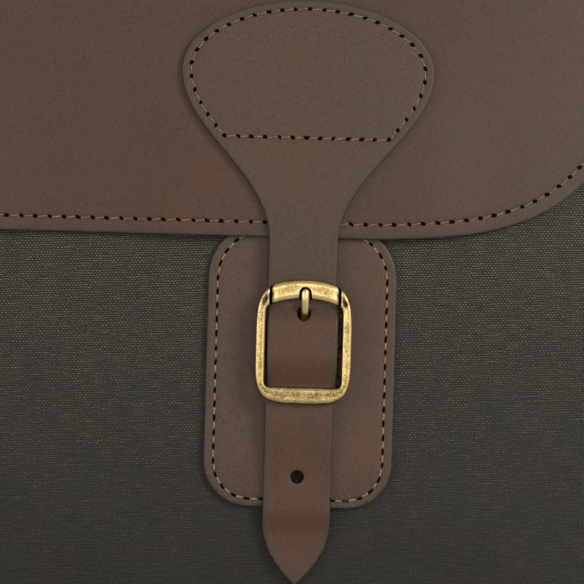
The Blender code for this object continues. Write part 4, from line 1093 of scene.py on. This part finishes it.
def buckle_frames():
    """A bevelled section carried between an outer and an inner loop; on the upper bar its
    top is lowered by a groove, a bevel and a slope that depend on the distance across."""
    fine = np.linspace(0, 2 * math.pi, 6001)
    (x, v), _ = buckle_edges(fine)
    dense = 1 + 5 * hump(np.abs(x - PRONG_SHIFT), 11.9 * MM, 1.9 * MM) * (v > -25 * MM)
    corner = np.abs(x * (v - BUCKLE_OUTER_V)) / (BUCKLE_OUTER_HALF[0] * BUCKLE_OUTER_HALF[1])
    dense = dense + 4 * corner ** 4
    steps = np.hypot(np.diff(x), np.diff(v)) * dense[1:]
    length = np.r_[0, np.cumsum(steps)]
    turn = np.interp(np.linspace(0, length[-1], 320, endpoint=False), length, fine)[:, None]
    (outer_x, outer_v), (inner_x, inner_v) = buckle_edges(turn)
    out, up = np.array(BUCKLE_SECTION).T
    x = inner_x + (outer_x - inner_x) * out
    v = inner_v + (outer_v - inner_v) * out
    over = np.abs(x - PRONG_SHIFT) / MM
    on_top = smoothstep(v, -26 * MM, -24 * MM)
    groove = GROOVE_DEPTH * hump(over, PLATE_HALF, 0.4, 4)
    slope = SLOPE_DEPTH * smoothstep(over, PLATE_HALF - 1.5, PLATE_HALF - 0.2) * (over < PLATE_HALF)
    cheek = CHEEK_DEPTH * smoothstep(over, PLATE_HALF + 2.4, PLATE_HALF + 0.4) * (over > PLATE_HALF)
    lower = (groove + np.maximum(slope, cheek)) * on_top * smoothstep(up, 0.4, 0.7)
    h = BUCKLE_BACK + BUCKLE_THICK * up - lower * MM
    points = buckle_point(x, v, h)
    flat_share = hump(out, 0.5, 0.24) * (up > 0.9)
    ridge = hump(over, PLATE_HALF - 1.9, 0.55) + hump(over, PLATE_HALF + 0.8, 0.3)
    # Painted shade, with lacquer left there: the outline, where the frame's walls turn down to the
    # leather, is darker as contact shade; the flats keep lacquer specks, and the lower bar is a little
    # darker
    patina_and_shade = 0.1 + 0.3 * flat_share + 0.2 * (v < -53 * MM) + 0.75 * (1 - smoothstep(up, 0.62, 0.97))
    worn = smoothstep(over, PLATE_HALF + 4.4, PLATE_HALF + 2.4) * (over > PLATE_HALF)
    worn = worn * hump(out, 0.5, 0.3, 4)
    patina_and_shade = patina_and_shade + on_top * (1.0 * (groove > 0.3) + 0.4 * (slope > 0.1) - 0.5 * ridge + 0.55 * worn)
    index = np.arange(x.size).reshape(x.shape)
    for side, word, flip in SIDES:
        name = "buckle_frame_" + word
        made = put_mesh(name, (points * flip).reshape(-1, 3),
                        [quads(index, close_rows=True, close_columns=True)],
                        None, {"patina_and_shade": patina_and_shade.ravel()}, crease=32)
        bar = cross_bar(name + "_bar", flip)
        change = made.modifiers.new("bar", "BOOLEAN")
        change.operation = "UNION"
        change.object = bar
        change.use_self = True
        turn_half = np.linspace(0, math.pi, 21)
        notch = joined(NOTCH_RADIUS * np.cos(turn_half), NOTCH_V + NOTCH_RADIUS * np.sin(turn_half))
        notch = np.concatenate([notch, NOTCH_FOOT]) * MM
        notch = notch * [side, 1] + [side * (STRAP_X + BUCKLE_SHIFT + PRONG_SHIFT), FLAP_EDGE]
        floor = buckle_point(0, 0, BUCKLE_BACK + NOTCH_FLOOR)[1]
        punched(made, [pillar(name + "_notch", notch, floor - 5 * MM, floor)])
        count = len(made.data.vertices)
        place, value = np.empty(3 * count, np.float32), np.empty(count, np.float32)
        made.data.vertices.foreach_get("co", place)
        made.data.attributes["patina_and_shade"].data.foreach_get("value", value)
        # Painted shade: the points in and round the notch for the prong's tip are painted near black
        middle = side * (STRAP_X + BUCKLE_SHIFT + PRONG_SHIFT), floor, FLAP_EDGE + NOTCH_V * MM
        x, y, z = (place.reshape(-1, 3) - middle).T
        cut_in = (np.abs(x) < 3 * MM) & (np.abs(z) < 3 * MM) & (y > -0.1 * MM)
        made.data.attributes["patina_and_shade"].data.foreach_set("value", np.where(cut_in, DEEP_PAINTED_SHADE, value))
        bpy.data.objects.remove(bar)
        dress(made, name, brass_look)
        prong("prong_" + word, flip)


buckle_frames()

# Shoulder strap. One strip of cowhide, 32 mm wide and 2.6 mm thick, folded round a brass
# ring at each end and sewn. Each ring hangs from a leather tab sewn up the gusset.

SHOULDER_WIDTH = 32 * MM
SHOULDER_LEATHER = 2.6 * MM
RING_HALF_WIDTH = 20 * MM
RING_DROP = 20 * MM
RING_WIRE = 1.9 * MM
RING_CORNER = 3.5 * MM
RING_HEIGHT = 242 * MM
TAB_HALF = 15 * MM
TAB_LEATHER = 1.8 * MM
TAB_FOOT = 186 * MM
# Stitches across a tab or the strap, and round a tab: up one side, across, down the other
ROW_ACROSS = np.linspace(-11.5, 11.5, 7) * MM
TAB_SEAM_Y = np.r_[np.full(7, ROW_ACROSS[0]), ROW_ACROSS[1:-1], np.full(7, ROW_ACROSS[-1])]
TAB_SEAM_Z = np.r_[np.linspace(197, 223, 7), np.full(5, 223), np.linspace(223, 197, 7)] * MM
# Two rows of stitches hold each fold, this far along the strap from its end
STRAP_SEAMS = (49 * MM, 57 * MM)
# Points of the strap's right half from its ring down and round behind the bag: the place,
# then the direction of its width
SHOULDER_ROUTE = (
    (0.1990, 0.000, 0.190, 0.00, 1.00, 0.00),
    (0.2000, 0.001, 0.155, 0.05, 1.00, 0.00),
    (0.2040, 0.004, 0.120, 0.30, 0.95, 0.00),
    (0.2110, 0.010, 0.085, 0.70, 0.70, 0.00),
    (0.2170, 0.020, 0.050, 0.95, 0.30, 0.00),
    (0.2200, 0.036, 0.022, 1.00, 0.05, 0.05),
    (0.2220, 0.062, 0.008, 1.00, 0.00, 0.15),
    (0.2230, 0.092, 0.0105, 0.86, 0.00, 0.50),
    (0.2200, 0.122, 0.0150, 0.50, 0.00, 0.86),
    (0.2070, 0.152, 0.0165, 0.15, 0.00, 1.00),
    (0.1820, 0.182, 0.0165, 0.00, 0.00, 1.00),
    (0.1450, 0.208, 0.0165, 0.00, 0.00, 1.00),
    (0.0980, 0.226, 0.0165, 0.00, 0.00, 1.00),
    (0.0480, 0.236, 0.0165, 0.00, 0.00, 1.00),
)


def wall_x(z):
    """The gusset's outer face beside the tab."""
    pinch = GUSSET_PINCH * smoothstep(z, PINCH_START, GUSSET_HEIGHT)
    return HALF_WIDTH - pinch + 1.0 * MM


RING_X = wall_x(RING_HEIGHT) + GAP + TAB_LEATHER + GAP + RING_WIRE
RING_OUT = 6.0 * MM


def strip_section(width, thickness, count):
    """A flat strip's section with rounded edges: its upper face, then its lower one."""
    over = stations(np.array([[-width / 2]]), np.array([[width / 2]]), count)[:, 0]
    edge = width / 2 - np.abs(over)
    lift = thickness / 2 - rounded(edge, min(EDGE_ROUND, 0.45 * thickness))
    upper = joined(over, lift)
    return np.concatenate([upper, upper[::-1] * [1, -1]]), np.concatenate([edge, edge[::-1]])


def leather_strip(name, path, across, width, thickness, count):
    """A strip along a path, its width held along the across direction."""
    along = unit(np.gradient(path, axis=0))
    across = unit(across - along * np.sum(across * along, axis=1, keepdims=True))
    section, edge = strip_section(width, thickness, count)
    number = len(path) * len(section)
    made = sweep(name, path, across, np.cross(along, across), section,
                 values={"edge": np.tile(edge / MM, len(path)), "warm": np.zeros(number)})
    dress(made, name, strap_look)


def mirrored(rows):
    """The same rows on the other side of the bag."""
    return np.array(rows, float) * [-1, 1, 1, -1, 1, 1]


def tabs_and_rings():
    """Each tab runs up the gusset, round the ring in a half circle and down again; each ring
    is a rounded rectangle of wire that leans outwards."""
    bend = RING_WIRE + GAP + TAB_LEATHER / 2
    turn = np.radians(np.linspace(180, 0, 25))
    rows = np.linspace(TAB_FOOT, RING_HEIGHT - 5 * MM, 24)
    back = wall_x(rows) + GAP + TAB_LEATHER / 2
    front_z = np.array([RING_HEIGHT - 6 * MM, RING_HEIGHT - 11 * MM, RING_HEIGHT - 16 * MM,
                        (RING_HEIGHT + TAB_FOOT) / 2, TAB_FOOT + 8 * MM])
    close = wall_x(front_z) + 2 * GAP + 1.5 * TAB_LEATHER + np.array([3.4, 1.6, 0.2, 0, 0]) * MM
    x = np.r_[back, RING_X + bend * np.cos(turn), close]
    z = np.r_[rows, RING_HEIGHT + bend * np.sin(turn), front_z]
    tab_path = smooth_path(joined(x, 0, z), 120)
    corner = np.repeat(np.array([(1, 1), (-1, 1), (-1, -1), (1, -1)]), 12, axis=0)
    angle = np.radians((np.linspace(0, 90, 12) + np.array([[0], [90], [180], [270]])).ravel())
    y = corner[:, 0] * (RING_HALF_WIDTH - RING_CORNER) + RING_CORNER * np.cos(angle)
    rise = corner[:, 1] * (RING_DROP / 2 - RING_CORNER) + RING_CORNER * np.sin(angle)
    fall = 0.5 - rise / RING_DROP
    for side, word, flip in SIDES:
        leather_strip("tab_" + word, tab_path * flip, np.array([[0, 1.0, 0]] * len(tab_path)),
                      2 * TAB_HALF, TAB_LEATHER, 17)
        path = joined(side * (RING_X + RING_OUT * fall), y, RING_HEIGHT - RING_DROP * fall)
        along = unit(np.roll(path, -1, axis=0) - np.roll(path, 1, axis=0))
        face = unit(np.array([side * RING_DROP, 0, RING_OUT]))
        wire = sweep("ring_" + word, path, np.cross(along, face), np.repeat(face[None], 48, axis=0),
                     circle(RING_WIRE, 14), closed=True, values={"patina_and_shade": np.full(48 * 14, 0.2)})
        dress(wire, "ring_" + word, brass_look)
        seam_x = np.interp(TAB_SEAM_Z, front_z[::-1], close[::-1]) + TAB_LEATHER / 2
        seam = joined(side * seam_x, TAB_SEAM_Y, TAB_SEAM_Z)
        outward = np.broadcast_to([float(side), 0, 0], seam.shape)
        stitching("tab_stitching_" + word, [(seam, outward)], linen_thread)


tabs_and_rings()


def shoulder_strap():
    """Half circles round both rings, and between them the smooth curve through the route."""
    low_x, low_z = RING_X + RING_OUT, RING_HEIGHT - RING_DROP
    fold = RING_WIRE + GAP + SHOULDER_LEATHER / 2
    turn = np.radians(np.linspace(180, 0, 25))
    tail_z = low_z - np.array([30, 24, 18, 12]) * MM
    tail_x = wall_x(tail_z) + 3 * GAP + 2 * TAB_LEATHER + SHOULDER_LEATHER / 2 + GAP
    x = np.r_[tail_x, low_x + fold * np.cos(turn)]
    z = np.r_[tail_z, low_z + fold * np.sin(turn)]
    loop = joined(x, 0, z, 0, 1.0, 0)
    free = smooth_path(np.vstack([loop[-1:], SHOULDER_ROUTE, mirrored(SHOULDER_ROUTE[-1:])]), 42)[1:-2]
    rows = np.vstack([loop, free, mirrored(np.vstack([loop, free]))[::-1]])
    rows = smooth_path(rows, 520)
    leather_strip("shoulder_strap", rows[:, :3], rows[:, 3:], SHOULDER_WIDTH, SHOULDER_LEATHER, 17)
    way = lengths(rows[:, :3])
    along, across = unit(np.gradient(rows[:, :3], axis=0)), unit(rows[:, 3:])
    outward = np.cross(along, across)
    runs = []
    for begin in STRAP_SEAMS:
        for place in (begin, way[-1] - begin):
            k = int(np.searchsorted(way, place))
            spread = ROW_ACROSS[:, None] * across[k]
            out = outward[k] * np.sign(outward[k, 0] * rows[k, 0])
            runs.append((rows[k, :3] + spread + out * (SHOULDER_LEATHER / 2 - 0.1 * MM),
                         np.broadcast_to(out, spread.shape)))
    stitching("shoulder_strap_stitching", runs, linen_thread)


shoulder_strap()

# Studio. A pale floor, a large soft light from the upper right like the photograph's, weaker
# ones from the left and the back, and the camera square to the right-hand closing strap.

FLOOR_HALF = 3.0
corners = np.array([[-1, -1, 0], [1, -1, 0], [1, 1, 0], [-1, 1, 0]]) * FLOOR_HALF
floor = put_mesh("floor", corners, [np.array([[0, 1, 2, 3]])])
floor_look, _, floor_shader = new_material("pale_floor", 0.8)
floor_shader.inputs["Base Color"].default_value = linear("#d9d7d3")
floor.data.materials.append(floor_look)

world = bpy.data.worlds.new("studio")
bpy.context.scene.world = world
world.use_nodes = True
world.node_tree.nodes["Background"].inputs[0].default_value = linear("#e9ebee")
world.node_tree.nodes["Background"].inputs[1].default_value = 0.5

# Softboxes: name, place, what it aims at, width, power
SOFTBOXES = (("key", (1.7, -1.7, 1.15), (0.08, 0, 0.15), 0.9, 38),
             ("front", (0.25, -2.7, 0.45), (0.08, 0, 0.15), 1.2, 9),
             ("fill", (-1.7, -1.6, 0.6), (0, 0, 0.15), 1.4, 16),
             ("back", (0.3, 1.9, 1.3), (0, 0, 0.12), 1.2, 22))
for name, place, aim, width, power in SOFTBOXES:
    lamp = bpy.data.lights.new(name, "AREA")
    lamp.size = width
    lamp.energy = power
    holder = bpy.data.objects.new(name, lamp)
    holder.location = place
    way = np.subtract(aim, place)
    holder.rotation_euler = (math.acos(-way[2] / np.linalg.norm(way)), 0, math.atan2(-way[0], way[1]))
    bpy.context.scene.collection.objects.link(holder)

# The middle of the view in the strap's face, the width that it takes in, and its distance
VIEW_X = 78.3 * MM
VIEW_Z = 148.3 * MM
VIEW_WIDTH = 211.6 * MM
VIEW_Y = -52 * MM
VIEW_DISTANCE = 1.6
SENSOR = 36
ROLL = math.radians(-1.585)
camera = bpy.data.cameras.new("camera")
camera.sensor_width = SENSOR
camera.lens = SENSOR * VIEW_DISTANCE / VIEW_WIDTH
camera_holder = bpy.data.objects.new("camera", camera)
camera_holder.location = (VIEW_X, VIEW_Y - VIEW_DISTANCE, VIEW_Z)
camera_holder.rotation_euler = (math.pi / 2, ROLL, 0)
bpy.context.scene.collection.objects.link(camera_holder)
bpy.context.scene.camera = camera_holder
bpy.context.scene.view_settings.view_transform = "Standard"
